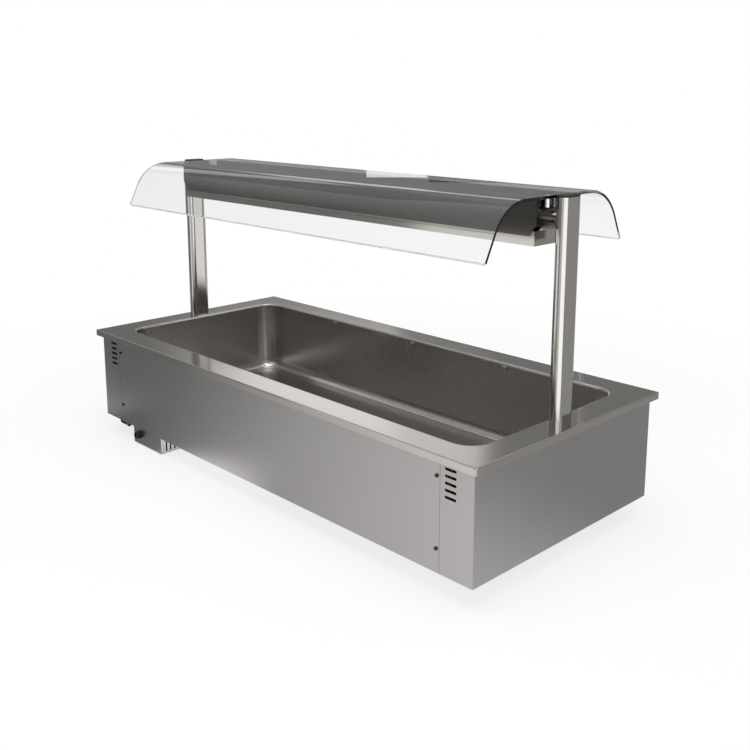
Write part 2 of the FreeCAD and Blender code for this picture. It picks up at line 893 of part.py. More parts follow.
def valve_ball():
    """Ball with its through bore, shown closed, lying along X."""
    middle = drain_point(valve_z)
    ball = Part.makeSphere(ball_radius, middle)
    across = V(ball_radius + overrun, 0, 0)
    ball = ball.cut(rod(waste_bore_radius - ball_gap, middle.sub(across), middle.add(across)))
    slot = box(drain_x - stem_radius - overrun, drain_x + stem_radius + overrun,
               drain_y - ball_radius - overrun, drain_y - ball_radius + key_depth,
               valve_z - key_half_thick, valve_z + key_half_thick)
    return ball.cut(slot)


def lever_point(setback):
    """Point on the valve's stem axis, measured back from the casing front."""
    return V(drain_x, -half_width + setback, valve_z)


def valve_stem():
    """Spindle from the ball out to the lever at the front edge."""
    stem = rod(stem_radius, drain_point(valve_z).add(V(0, -ball_radius, 0)),
               lever_point(lever_setback + lever_thick))
    key = box(drain_x - key_half_length, drain_x + key_half_length,
              drain_y - ball_radius - hair, drain_y - ball_radius + key_depth,
              valve_z - key_half_thick, valve_z + key_half_thick)
    stem = join([stem, key])
    thread = rod(lever_screw_radius, lever_point(0),
                 lever_point(lever_setback + lever_thick + lever_screw_grip))
    return stem.cut(thread)


def drain_lever():
    """Flat lever with a round hub and a round tip, shown closed."""
    back = lever_point(lever_setback + lever_thick)
    face = lever_point(lever_setback)
    tip_back = back.add(V(-lever_reach + lever_tip_radius, 0, 0))
    tip_face = face.add(V(-lever_reach + lever_tip_radius, 0, 0))
    hub = rod(lever_hub_radius, back, face)
    tip = rod(lever_tip_radius, tip_back, tip_face)
    arm = box(tip_face.x, face.x, face.y, back.y, valve_z - lever_tip_radius, valve_z + lever_tip_radius)
    lever = join([hub, tip, arm])
    return lever.cut(rod(lever_screw_radius, face.add(V(0, -overrun, 0)), back.add(V(0, overrun, 0))))


def lever_screw():
    """Screw that holds the lever on its spindle."""
    face = lever_point(lever_setback)
    head = rod(lever_screw_head, face.add(V(0, -lever_screw_height, 0)), face)
    grip = V(0, lever_thick + lever_screw_grip, 0)
    return join([head, rod(lever_screw_radius, face, face.add(grip))])


# Heat


def element_rows():
    """Places across the well of the element's straight runs."""
    middle = (element_runs - 1) / 2
    return [(row - middle) * element_pitch for row in range(element_runs)]


def heating_element():
    """Tubular element folded to and fro under the well floor."""
    level = well_under - element_radius
    rows = element_rows()
    turn = element_pitch / 2
    edges = []
    for number, row in enumerate(rows):
        outward = number % 2 == 0
        start = V(element_start if outward else element_end, row, level)
        end = V(element_end if outward else element_start, row, level)
        edges.append(Part.LineSegment(start, end).toShape())
        if number < len(rows) - 1:
            reach = turn if outward else -turn
            apex = V(end.x + reach, row + turn, level)
            edges.append(Part.Arc(end, apex, V(end.x, row + element_pitch, level)).toShape())
    path = Part.Wire(edges)
    start = V(element_start, rows[0], level)
    profile = Part.Wire([Part.makeCircle(element_radius, start, V(1, 0, 0))])
    tube = path.makePipeShell([profile], True, False)
    pins = []
    for row in (rows[0], rows[-1]):
        root = V(element_start, row, level)
        pins.append(rod(terminal_radius, root.add(V(-terminal_length, 0, 0)), root))
    return join([tube] + pins)


def clamp_places():
    """Places along the well of the clamp bars."""
    middle = (clamp_count - 1) / 2
    centre = (element_start + element_end) / 2
    return [centre + (step - middle) * clamp_spacing for step in range(clamp_count)]


def element_clamps():
    """Bars that press the element against the well floor."""
    top = well_under - 2 * element_radius
    half = element_rows()[-1] + clamp_overhang
    bars = []
    for place in clamp_places():
        bar = box(place - clamp_width / 2, place + clamp_width / 2, -half, half, top - clamp_height, top)
        for side in (-1, 1):
            y = side * (half - stud_inset)
            bar = bar.cut(rod(stud_radius, V(place, y, top - clamp_height - overrun),
                              V(place, y, top + overrun)))
        bars.append(bar)
    return group(bars)


def clamp_studs():
    """Weld studs and nuts at the ends of the clamp bars."""
    bar_low = well_under - 2 * element_radius - clamp_height
    half = element_rows()[-1] + clamp_overhang
    pieces = []
    for place in clamp_places():
        for side in (-1, 1):
            y = side * (half - stud_inset)
            foot = V(place, y, bar_low - stud_tail)
            pieces.append(rod(stud_radius, foot, V(place, y, well_under)))
            nut = hexagon(nut_radius, V(place, y, bar_low - nut_height), V(place, y, bar_low))
            pieces.append(nut.cut(rod(stud_radius, foot, V(place, y, bar_low + overrun))))
    return group(pieces)


def thermostat_probe():
    """Probe against the well floor, with its capillary down into the control box."""
    level = well_under - probe_radius
    bulb = rod(probe_radius, V(probe_start, capillary_y, level),
               V(probe_start + probe_length, capillary_y, level))
    bend_start = V(capillary_drop_x + capillary_bend, capillary_y, level)
    bend_end = V(capillary_drop_x, capillary_y, level - capillary_bend)
    slant = capillary_bend * math.cos(math.pi / 4)
    apex = V(bend_start.x - slant, capillary_y, bend_end.z + slant)
    start = V(probe_start, capillary_y, level)
    low = V(capillary_drop_x, capillary_y, base_level - box_height / 2)
    path = Part.Wire([Part.LineSegment(start, bend_start).toShape(),
                      Part.Arc(bend_start, apex, bend_end).toShape(),
                      Part.LineSegment(bend_end, low).toShape()])
    profile = Part.Wire([Part.makeCircle(capillary_radius, start, V(-1, 0, 0))])
    return join([bulb, path.makePipeShell([profile], True, False)])


def safety_cutout():
    """Disc cut-out switch screwed under the well floor."""
    top = V(cutout_x, 0, well_under)
    body = rod(cutout_radius, top.add(V(0, 0, -cutout_height)), top)
    ears = box(cutout_x - cutout_ear, cutout_x + cutout_ear, -stud_inset / 2, stud_inset / 2,
               well_under - cutout_ear_height, well_under)
    return join([body, ears])


def long_insulation():
    """Front mineral wool slab against the well wall."""
    half = opening_length / 2 - well_corner
    wall = opening_width / 2 + well_sheet
    return box(-half, half, -wall - insulation_thick, -wall,
               base_top + insulation_thick, deck_under - rail_leg - insulation_end_gap)


def side_insulation():
    """Mineral wool slabs along both long walls."""
    slab = long_insulation()
    return group([slab, other_side(slab)])


def end_insulation():
    """Mineral wool slabs at both ends."""
    half = opening_width / 2 - well_corner
    wall = opening_length / 2 + well_sheet
    slab = box(wall, wall + insulation_thick, -half, half,
               base_top + insulation_thick, deck_under - rail_leg - insulation_end_gap)
    return group([slab, other_end(slab)])


def floor_insulation():
    """Slab on the base under the element, clear of the drain and the box pass."""
    half = opening_width / 2
    low_x = drain_x + insulation_drain_gap
    top = well_under - 2 * element_radius - clamp_height - stud_tail - insulation_floor_gap
    slab = box(low_x, opening_length / 2, -half, half, base_top, top)
    for point in box_screw_points():
        slab = slab.cut(rod(small_head_radius, point, point.add(V(0, 0, small_screw_grip))))
    return slab.cut(box_pass(base_top - overrun, top + overrun))


# Gantry


def post_core(side, low, high, gap):
    """Bar that fills the inside of a post, smaller all round by a gap."""
    less = 2 * (post_wall + gap)
    return flat_oval(post_width - less, post_depth - less, post_point(side, low), high - low)


def gantry_post():
    """Right post, drilled for the gantry bolt."""
    tube = flat_oval(post_width, post_depth, post_point(1, deck_rise), post_top - deck_rise)
    bore = post_core(1, deck_rise - overrun, post_top + overrun, 0)
    hole = rod(gantry_bolt_radius, V(0, 0, saddle_level), V(post_x, 0, saddle_level))
    return tube.cut(bore).cut(hole)


def post_caps():
    """Plastic caps that plug the tops of the posts."""
    caps = []
    for side in (-1, 1):
        disc = flat_oval(post_width, post_depth, post_point(side, post_top), cap_height)
        disc = disc.makeFillet(cap_height / 2, level_edges(disc, post_top + cap_height))
        plug = post_core(side, post_top - cap_plug, post_top, cap_plug_gap)
        caps.append(join([disc, plug]))
    return group(caps)


def post_bolt_points(side, level):
    """Where the two bolts of a post stand."""
    return [post_point(side, level).add(V(0, way * post_bolt_spread, 0)) for way in (-1, 1)]


def post_feet():
    """Tapped blocks welded into the feet of the posts."""
    feet = []
    for side in (-1, 1):
        foot = post_core(side, deck_rise, deck_rise + foot_height, 0)
        for point in post_bolt_points(side, deck_rise):
            foot = foot.cut(rod(post_bolt_radius, point.add(V(0, 0, -overrun)),
                                point.add(V(0, 0, foot_height + overrun))))
        feet.append(foot)
    return group(feet)


def post_plates():
    """Backing plates under the deck at the posts."""
    plates = []
    outer = half_length - panel_sheet - rail_sheet
    plate = box(outer - post_plate_width, outer, -post_plate_length / 2, post_plate_length / 2,
                deck_under - post_plate_height, deck_under)
    for point in post_bolt_points(1, deck_under):
        plate = plate.cut(rod(post_bolt_radius, point.add(V(0, 0, -post_plate_height - overrun)),
                              point.add(V(0, 0, overrun))))
    plates.append(plate)
    plates.append(other_end(plate))
    return group(plates)


def post_bolts():
    """Hexagon bolts from below the deck into the feet of the posts."""
    bolts = []
    for side in (-1, 1):
        for point in post_bolt_points(side, deck_under - post_plate_height):
            head = hexagon(post_bolt_head, point.add(V(0, 0, -post_bolt_head_height)), point)
            tip = post_plate_height + deck_sheet + post_bolt_grip
            bolts.append(join([head, rod(post_bolt_radius, point, point.add(V(0, 0, tip)))]))
    return group(bolts)


def gantry_skin():
    """Long dark channel with a web between its two skirts and cut-back corners."""
    inner = skin_half_width - skin_sheet
    profile = [(-skin_half_width, skin_low), (-inner, skin_low), (-inner, skin_web_top - skin_sheet),
               (inner, skin_web_top - skin_sheet), (inner, skin_low), (skin_half_width, skin_low),
               (skin_half_width, skin_high), (inner, skin_high), (inner, skin_web_top),
               (-inner, skin_web_top), (-inner, skin_high), (-skin_half_width, skin_high)]
    skin = prism_along_x(profile, -skin_half_length, skin_half_length)
    corner = Part.makePolygon([
        V(skin_half_length - skin_cut_length, -skin_half_width - overrun, skin_low - overrun),
        V(skin_half_length - skin_cut_length, -skin_half_width - overrun, skin_low),
        V(skin_half_length, -skin_half_width - overrun, skin_low + skin_cut_height),
        V(skin_half_length + overrun, -skin_half_width - overrun, skin_low + skin_cut_height),
        V(skin_half_length + overrun, -skin_half_width - overrun, skin_low - overrun),
        V(skin_half_length - skin_cut_length, -skin_half_width - overrun, skin_low - overrun)])
    wedge = Part.Face(corner).extrude(V(0, 2 * (skin_half_width + overrun), 0))
    ends = box(housing_half_length, skin_half_length + overrun, -inner, inner,
               skin_low, skin_high + overrun)
    skin = skin.cut(wedge).cut(other_end(wedge)).cut(ends).cut(other_end(ends))
    for side in (-1, 1):
        foot = standoff_point(side, skin_web_top)
        skin = skin.cut(rod(standoff_screw_radius, foot.add(V(0, 0, -overrun)), foot.add(V(0, 0, overrun))))
    return skin


def gantry_end():
    """Right end plate of the housing with its flange under the web."""
    inner = skin_half_width - skin_sheet
    high = skin_web_top - skin_sheet
    plate = box(housing_half_length - skin_sheet, housing_half_length, -inner, inner, end_plate_low, high)
    flange = box(housing_half_length - end_plate_flange, housing_half_length, -inner, inner,
                 high - skin_sheet, high)
    end = join([plate, flange])
    return end.cut(rod(gantry_bolt_radius, V(0, 0, saddle_level), V(post_x, 0, saddle_level)))


def gantry_ends():
    """End plates of the housing."""
    return group([gantry_end(), other_end(gantry_end())])


def gantry_saddles():
    """Bosses between the housing ends and the flat sides of the posts."""
    saddle = rod(saddle_radius, V(housing_half_length, 0, saddle_level), V(post_face_x, 0, saddle_level))
    saddle = saddle.cut(rod(gantry_bolt_radius, V(0, 0, saddle_level), V(post_x, 0, saddle_level)))
    return group([saddle, other_end(saddle)])


def gantry_bolts():
    """Bolts from inside the housing into the posts."""
    face = V(housing_half_length - skin_sheet, 0, saddle_level)
    head = rod(gantry_bolt_head, face.add(V(-gantry_bolt_head_height, 0, 0)), face)
    tip = V(post_face_x + gantry_bolt_tail, 0, saddle_level)
    bolt = join([head, rod(gantry_bolt_radius, face, tip)])
    return group([bolt, other_end(bolt)])


def lamp_tray():
    """Open tray below the channel with a long window for the lamps."""
    half_y = skin_half_width - skin_sheet - tray_gap
    tray = box(-housing_half_length, housing_half_length, -half_y, half_y, tray_low, tray_high)
    inside = box(-housing_half_length + tray_sheet, housing_half_length - tray_sheet,
                 -half_y + tray_sheet, half_y - tray_sheet, tray_low + tray_sheet, tray_high + overrun)
    window = box(-window_half_length, window_half_length, -window_half_width, window_half_width,
                 tray_low - overrun, tray_high)
    return tray.cut(inside).cut(window)


def lamp_reflector():
    """Folded reflector over the lamps, standing on the tray."""
    low = tray_low + tray_sheet
    outline = [(-reflector_low_half, low), (-reflector_high_half, reflector_top),
               (reflector_high_half, reflector_top), (reflector_low_half, low)]
    within = [(-reflector_low_half + reflector_sheet, low - overrun),
              (-reflector_low_half + reflector_sheet, low),
              (-reflector_high_half + reflector_sheet, reflector_top - reflector_sheet),
              (reflector_high_half - reflector_sheet, reflector_top - reflector_sheet),
              (reflector_low_half - reflector_sheet, low),
              (reflector_low_half - reflector_sheet, low - overrun)]
    solid = prism_along_x(outline, -window_half_length, window_half_length)
    return solid.cut(prism_along_x(within, -window_half_length - overrun, window_half_length + overrun))


def lamp_places():
    """Places along the gantry of the lamps."""
    middle = (lamp_count - 1) / 2
    return [(step - middle) * lamp_pitch for step in range(lamp_count)]


def heat_lamps():
    """Quartz tubes that face down over the pans."""
    half = lamp_length / 2
    return group([rod(lamp_radius, V(place - half, 0, lamp_level), V(place + half, 0, lamp_level))
                  for place in lamp_places()])


def lamp_holders():
    """Ceramic blocks that hang from the reflector and grip the lamp ends."""
    blocks = []
    for place in lamp_places():
        for side in (-1, 1):
            outer = place + side * (lamp_length / 2 + holder_length / 2)
            inner = outer - side * holder_length
            block = box(min(outer, inner), max(outer, inner), -holder_width / 2, holder_width / 2,
                        lamp_level - holder_below, reflector_top - reflector_sheet)
            lamp = rod(lamp_radius, V(place - lamp_length / 2, 0, lamp_level),
                       V(place + lamp_length / 2, 0, lamp_level))
            blocks.append(block.cut(lamp))
    return group(blocks)


def lamp_guard():
    """Wire guard that lies in the tray over the window."""
    level = tray_low + tray_sheet + guard_wire
    half = window_half_length - guard_wire
    reach = guard_half_width - 2 * guard_wire
    wires = []
    for side in (-1, 1):
        wires.append(rod(guard_wire, V(-half, side * reach, level), V(half, side * reach, level)))
    spacing = 2 * (half - guard_end) / (guard_bars - 1)
    for step in range(guard_bars):
        place = -half + guard_end + step * spacing
        wires.append(rod(guard_bar, V(place, -reach, level), V(place, reach, level)))
    return join(wires)


def glass_outline():
    """Half section of the bent glass, from its middle out: points and arc middles."""
    rise = math.radians(glass_turn)
    centre_z = glass_top - glass_bend
    points = {}
    for name, radius in (("outer", glass_bend), ("inner", glass_bend - glass_thick)):
        start = V(-glass_half_length, glass_flat_half, centre_z + radius)
        middle = V(-glass_half_length, glass_flat_half + radius * math.sin(rise / 2),
                   centre_z + radius * math.cos(rise / 2))
        end = V(-glass_half_length, glass_flat_half + radius * math.sin(rise),
                centre_z + radius * math.cos(rise))
        leg = V(0, glass_leg * math.cos(rise), -glass_leg * math.sin(rise))
        points[name] = (start, middle, end, end.add(leg))
    return points


def flip(point):
    """The same point on the other half of the glass section."""
    return V(point.x, -point.y, point.z)


def glass_canopy():
    """One sheet of glass bent down along both long sides."""
    points = glass_outline()
    edges = []
    for name in ("outer", "inner"):
        start, middle, end, tip = points[name]
        edges.append(Part.LineSegment(flip(start), start).toShape())
        for turn in (lambda point: point, flip):
            edges.append(Part.Arc(turn(start), turn(middle), turn(end)).toShape())
            edges.append(Part.LineSegment(turn(end), turn(tip)).toShape())
    outer_tip = points["outer"][3]
    inner_tip = points["inner"][3]
    edges.append(Part.LineSegment(outer_tip, inner_tip).toShape())
    edges.append(Part.LineSegment(flip(outer_tip), flip(inner_tip)).toShape())
    section = Part.Face(Part.Wire(Part.__sortEdges__(edges)))
    return section.extrude(V(2 * glass_half_length, 0, 0))


def standoff_point(side, level):
    """Point on a stand-off's axis."""
    return V(side * (skin_half_length - standoff_inset), 0, level)


def standoff_gaskets():
    """Black washers under the stand-offs."""
    rings = []
    for side in (-1, 1):
        low = standoff_point(side, skin_web_top)
        high = standoff_point(side, skin_web_top + standoff_gasket_height)
        ring = rod(standoff_radius - standoff_groove, low, high)
        rings.append(ring.cut(rod(standoff_screw_radius, low.add(V(0, 0, -overrun)),
                                  high.add(V(0, 0, overrun)))))
    return group(rings)


def glass_standoffs():
    """Polished pucks bonded under the glass, grooved near the top."""
    low = skin_web_top + standoff_gasket_height
    high = glass_top - glass_thick
    pucks = []
    for side in (-1, 1):
        puck = rod(standoff_radius, standoff_point(side, low), standoff_point(side, high))
        groove_high = high - standoff_groove_height
        groove_low = groove_high - standoff_groove
        groove = rod(standoff_radius + overrun, standoff_point(side, groove_low),
                     standoff_point(side, groove_high))
        groove = groove.cut(rod(standoff_radius - standoff_groove, standoff_point(side, low),
                                standoff_point(side, high)))
        puck = puck.cut(groove)
        tapped = rod(standoff_screw_radius, standoff_point(side, low - overrun),
                     standoff_point(side, skin_web_top - skin_sheet + standoff_screw_grip))
        pucks.append(puck.cut(tapped))
    return group(pucks)


def standoff_screws():
    """Screws from under the web up into the stand-offs."""
    screws = []
    face = skin_web_top - skin_sheet
    for side in (-1, 1):
        head = rod(standoff_head_radius, standoff_point(side, face - standoff_head_height),
                   standoff_point(side, face))
        shank = rod(standoff_screw_radius, standoff_point(side, face),
                    standoff_point(side, face + standoff_screw_grip))
        screws.append(join([head, shank]))
    return group(screws)


# Build and write every node

os.makedirs("parts", exist_ok=True)

save("deck_top", deck_top())
save("tank", tank())
save("gn_clips", gn_clips())
save("front_panel", service_panel())
save("rear_panel", other_side(service_panel()))
save("right_end_panel", end_panel())
save("left_end_panel", left_end_panel())
save("panel_screws", panel_screws())
save("base_panel", base_panel())
save("side_rails", side_rails())
save("end_rails", end_rails())
save("control_box", control_box())
save("control_box_lid", control_box_lid())
save("box_screws", box_screws())
save("cable_gland", cable_gland())
save("gland_nut", gland_nut())
save("thermostat_body", thermostat_body())
save("thermostat_knob", thermostat_knob())
save("well_switch_body", switch_body(0))
save("lamp_switch_body", switch_body(1))
save("well_rocker", rocker(0))
save("lamp_rocker", rocker(1))
save("terminal_block", terminal_block())
save("waste_fitting", waste_fitting())
save("waste_gasket", waste_gasket())
save("waste_backnut", waste_backnut())
save("drain_strainer", drain_strainer())
save("strainer_collar", strainer_collar())
save("valve_body", valve_body())
save("valve_ball", valve_ball())
save("valve_stem", valve_stem())
save("drain_lever", drain_lever())
save("lever_screw", lever_screw())
save("heating_element", heating_element())
save("element_clamps", element_clamps())
save("clamp_studs", clamp_studs())
save("thermostat_probe", thermostat_probe())
save("safety_cutout", safety_cutout())
save("side_insulation", side_insulation())
save("end_insulation", end_insulation())
save("floor_insulation", floor_insulation())
save("right_post", gantry_post())
save("left_post", other_end(gantry_post()))
save("post_caps", post_caps())
save("post_feet", post_feet())
save("post_plates", post_plates())
save("post_bolts", post_bolts())
save("gantry_skin", gantry_skin())
save("gantry_ends", gantry_ends())
save("gantry_saddles", gantry_saddles())
save("gantry_bolts", gantry_bolts())
save("lamp_tray", lamp_tray())
save("lamp_reflector", lamp_reflector())
save("heat_lamps", heat_lamps())
save("lamp_holders", lamp_holders())
save("lamp_guard", lamp_guard())
save("glass_canopy", glass_canopy())
save("standoff_gaskets", standoff_gaskets())
save("glass_standoffs", glass_standoffs())
save("standoff_screws", standoff_screws())
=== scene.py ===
import math

import bmesh
import bpy
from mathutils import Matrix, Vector


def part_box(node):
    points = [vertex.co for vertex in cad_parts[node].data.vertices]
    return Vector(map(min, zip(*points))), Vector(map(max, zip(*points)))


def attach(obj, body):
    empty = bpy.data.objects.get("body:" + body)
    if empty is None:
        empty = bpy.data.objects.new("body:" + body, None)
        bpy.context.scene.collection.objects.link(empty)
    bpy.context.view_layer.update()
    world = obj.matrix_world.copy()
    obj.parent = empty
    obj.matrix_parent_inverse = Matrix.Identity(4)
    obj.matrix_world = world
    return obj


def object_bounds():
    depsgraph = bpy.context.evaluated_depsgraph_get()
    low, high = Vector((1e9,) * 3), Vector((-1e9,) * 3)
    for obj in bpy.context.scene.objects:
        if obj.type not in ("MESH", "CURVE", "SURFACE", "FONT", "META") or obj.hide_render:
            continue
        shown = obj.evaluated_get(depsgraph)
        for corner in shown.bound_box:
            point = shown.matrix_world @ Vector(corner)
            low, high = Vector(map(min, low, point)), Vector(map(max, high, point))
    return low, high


bl_info = {
    "name": "Drop-in food well",
    "version": (1, 0, 0),
    "blender": (4, 5, 0),
    "location": "View3D > Sidebar > Food well",
    "description": "Finishes and fine detail for a drop-in heated food well with a glass gantry",
    "category": "Add Mesh",
}

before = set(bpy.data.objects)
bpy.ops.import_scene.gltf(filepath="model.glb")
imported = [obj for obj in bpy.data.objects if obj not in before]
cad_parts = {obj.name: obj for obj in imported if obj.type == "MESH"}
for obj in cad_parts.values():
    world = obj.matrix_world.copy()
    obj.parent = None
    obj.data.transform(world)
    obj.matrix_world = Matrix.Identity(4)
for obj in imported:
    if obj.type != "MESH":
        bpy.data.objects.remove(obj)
CAD_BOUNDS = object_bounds()

MM = 0.001
BODY = "well"
WHITE = (1.0, 1.0, 1.0, 1.0)


# Small helpers


def linear(hex_colour):
    """A written sRGB colour as the linear one that shaders take."""
    channels = [int(hex_colour[i:i + 2], 16) / 255 for i in (1, 3, 5)]
    return tuple(c / 12.92 if c <= 0.04045 else ((c + 0.055) / 1.055) ** 2.4 for c in channels) + (1.0,)


def add(tree, kind, inputs=None, **options):
    """One shader node with its options, and with values or links on its inputs."""
    made = tree.nodes.new(kind)
    for name, value in options.items():
        setattr(made, name, value)
    for name, value in (inputs or {}).items():
        if isinstance(value, bpy.types.NodeSocket):
            tree.links.new(value, made.inputs[name])
        else:
            made.inputs[name].default_value = value
    return made


def shades(colour, darker, brighter, lifted=0.0):
    """A written colour in two linear shades."""
    base = linear(colour)[:3]
    return (tuple(c * darker for c in base) + (1.0,),
            tuple(min(1.0, c * brighter + lifted) for c in base) + (1.0,))


def new_material(name):
    """An empty material with its tree and its output."""
    material = bpy.data.materials.new(name)
    material.use_nodes = True
    tree = material.node_tree
    tree.nodes.clear()
    return material, tree, tree.nodes.new("ShaderNodeOutputMaterial")


def assign(names, material):
    """Gives CAD nodes one material."""
    for name in names:
        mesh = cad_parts[name].data
        mesh.materials.clear()
        mesh.materials.append(material)


def settings():
    """The sizes and colours that a user would change."""
    return bpy.context.scene.food_well


# Materials


def brushed_metal(name, colour, roughness, along, grain_mm, depth_mm, cloud=0.06):
    """Sheet, tube, bar or wire with lines or grain along one or two axes, in tone, sheen and height.

    Real brushing and drawing lines are about 0.2 mm wide, too fine to show, so they are drawn 0.5 to 3 mm
    wide. The crystals of zinc have their real width.
    """
    line_length_to_width = 60
    patches_per_metre = 6.0
    patch_share = 0.35
    noise_low, noise_high = 0.3, 0.7
    most_swing, swing_per_cloud = 0.15, 2.5
    bump_strength = 0.25
    material, tree, output = new_material(name)
    place = add(tree, "ShaderNodeTexCoord").outputs["Object"]
    lines_per_metre = [1 / (grain_mm * MM)] * 3
    for axis in along:
        lines_per_metre["XYZ".index(axis)] /= line_length_to_width
    stretched = add(tree, "ShaderNodeMapping", {"Vector": place, "Scale": lines_per_metre}).outputs["Vector"]
    streaks = add(tree, "ShaderNodeTexNoise", {
        "Vector": stretched, "Scale": 1.0, "Detail": 3.0, "Roughness": 0.6}).outputs["Fac"]
    patches = add(tree, "ShaderNodeTexNoise", {
        "Vector": place, "Scale": patches_per_metre, "Detail": 2.0}).outputs["Fac"]
    both = add(tree, "ShaderNodeMix", {0: patch_share, 2: streaks, 3: patches}).outputs[0]
    dark, light = shades(colour, 1 - cloud, 1 + cloud)
    tone = add(tree, "ShaderNodeMix", {0: both, 6: dark, 7: light}, data_type="RGBA").outputs[2]
    swing = min(most_swing, cloud * swing_per_cloud)
    rough = add(tree, "ShaderNodeMapRange", {
        "Value": both, "From Min": noise_low, "From Max": noise_high,
        "To Min": roughness * (1 - swing), "To Max": roughness * (1 + swing)}).outputs["Result"]
    surface = add(tree, "ShaderNodeBsdfPrincipled", {"Base Color": tone, "Metallic": 1.0, "Roughness": rough})
    if depth_mm:
        bump = add(tree, "ShaderNodeBump", {"Height": streaks, "Strength": bump_strength,
                                            "Distance": depth_mm * MM})
        tree.links.new(bump.outputs["Normal"], surface.inputs["Normal"])
    tree.links.new(surface.outputs["BSDF"], output.inputs["Surface"])
    return material


def moulded(name, colour, roughness, grain_mm, depth_mm):
    """Plastic, rubber, ceramic, wool or ink with a fine even grain.

    The real texture of the plastic, the rubber and the ink is about 0.1 mm, too fine to show, and is drawn
    0.4 to 0.8 mm wide. The ceramic's ripple and the wool's tufts have their real width.
    """
    brighter, lifted = 1.25, 0.002
    bump_strength = 0.3
    material, tree, output = new_material(name)
    place = add(tree, "ShaderNodeTexCoord").outputs["Object"]
    grain = add(tree, "ShaderNodeTexNoise", {
        "Vector": place, "Scale": 1 / (grain_mm * MM), "Detail": 2.0}).outputs["Fac"]
    base, light = shades(colour, 1.0, brighter, lifted)
    tone = add(tree, "ShaderNodeMix", {0: grain, 6: base, 7: light}, data_type="RGBA").outputs[2]
    bump = add(tree, "ShaderNodeBump", {"Height": grain, "Strength": bump_strength,
                                        "Distance": depth_mm * MM})
    surface = add(tree, "ShaderNodeBsdfPrincipled", {
        "Base Color": tone, "Roughness": roughness, "Normal": bump.outputs["Normal"]})
    tree.links.new(surface.outputs["BSDF"], output.inputs["Surface"])
    return material


def clear_glass(edge_height):
    """Toughened soda-lime glass, bent and polished, with lower edges ground to a satin.

    The faces are clear with sharp reflections and hardly a tint, and the ground edges are pale lines.
    """
    soda_lime_ior = 1.5
    satin_roughness = 0.6
    material, tree, output = new_material("toughened_glass")
    clear = add(tree, "ShaderNodeBsdfPrincipled", {
        "Base Color": linear("#FBFCFB"), "Roughness": 0.0, "IOR": soda_lime_ior, "Transmission Weight": 1.0})
    satin = add(tree, "ShaderNodeBsdfPrincipled", {
        "Base Color": linear("#EEF1EF"), "Roughness": satin_roughness, "IOR": soda_lime_ior})
    place = add(tree, "ShaderNodeTexCoord").outputs["Object"]
    height = add(tree, "ShaderNodeSeparateXYZ", {"Vector": place}).outputs["Z"]
    is_edge = add(tree, "ShaderNodeMath", {0: height, 1: edge_height}, operation="LESS_THAN").outputs[0]
    both = add(tree, "ShaderNodeMixShader", {0: is_edge, 1: clear.outputs["BSDF"], 2: satin.outputs["BSDF"]})
    tree.links.new(both.outputs[0], output.inputs["Surface"])
    return material


def quartz_tube():
    """Fused quartz tube, frosted by etching: a milky tube that blurs the wire inside.

    Real etching is finer than 0.1 mm, too fine to show, so its cloudiness is drawn 2.5 mm wide.
    """
    quartz_ior = 1.46
    frost_mm = 2.5
    least_roughness, most_roughness = 0.25, 0.45
    see_through = 0.6
    material, tree, output = new_material("frosted_quartz")
    place = add(tree, "ShaderNodeTexCoord").outputs["Object"]
    frost = add(tree, "ShaderNodeTexNoise", {"Vector": place, "Scale": 1 / (frost_mm * MM)}).outputs["Fac"]
    rough = add(tree, "ShaderNodeMapRange", {
        "Value": frost, "To Min": least_roughness, "To Max": most_roughness}).outputs["Result"]
    surface = add(tree, "ShaderNodeBsdfPrincipled", {
        "Base Color": linear("#EDEAE4"), "Roughness": rough, "IOR": quartz_ior,
        "Transmission Weight": see_through})
    tree.links.new(surface.outputs["BSDF"], output.inputs["Surface"])
    return material


def tungsten_wire():
    """Drawn tungsten wire: dull dark grey with faint lines along it."""
    return brushed_metal("tungsten_wire", "#8A8680", roughness=0.35, along="X", grain_mm=0.5, depth_mm=0.0)


def pad_print():
    """White ink printed from a pad, made once for all marks: flat, clean and slightly glossy."""
    made = bpy.data.materials.get("white_pad_print")
    return made or moulded("white_pad_print", "#E8E8E6", roughness=0.5, grain_mm=0.4, depth_mm=0.01)


# Sizes and colours that a user would change


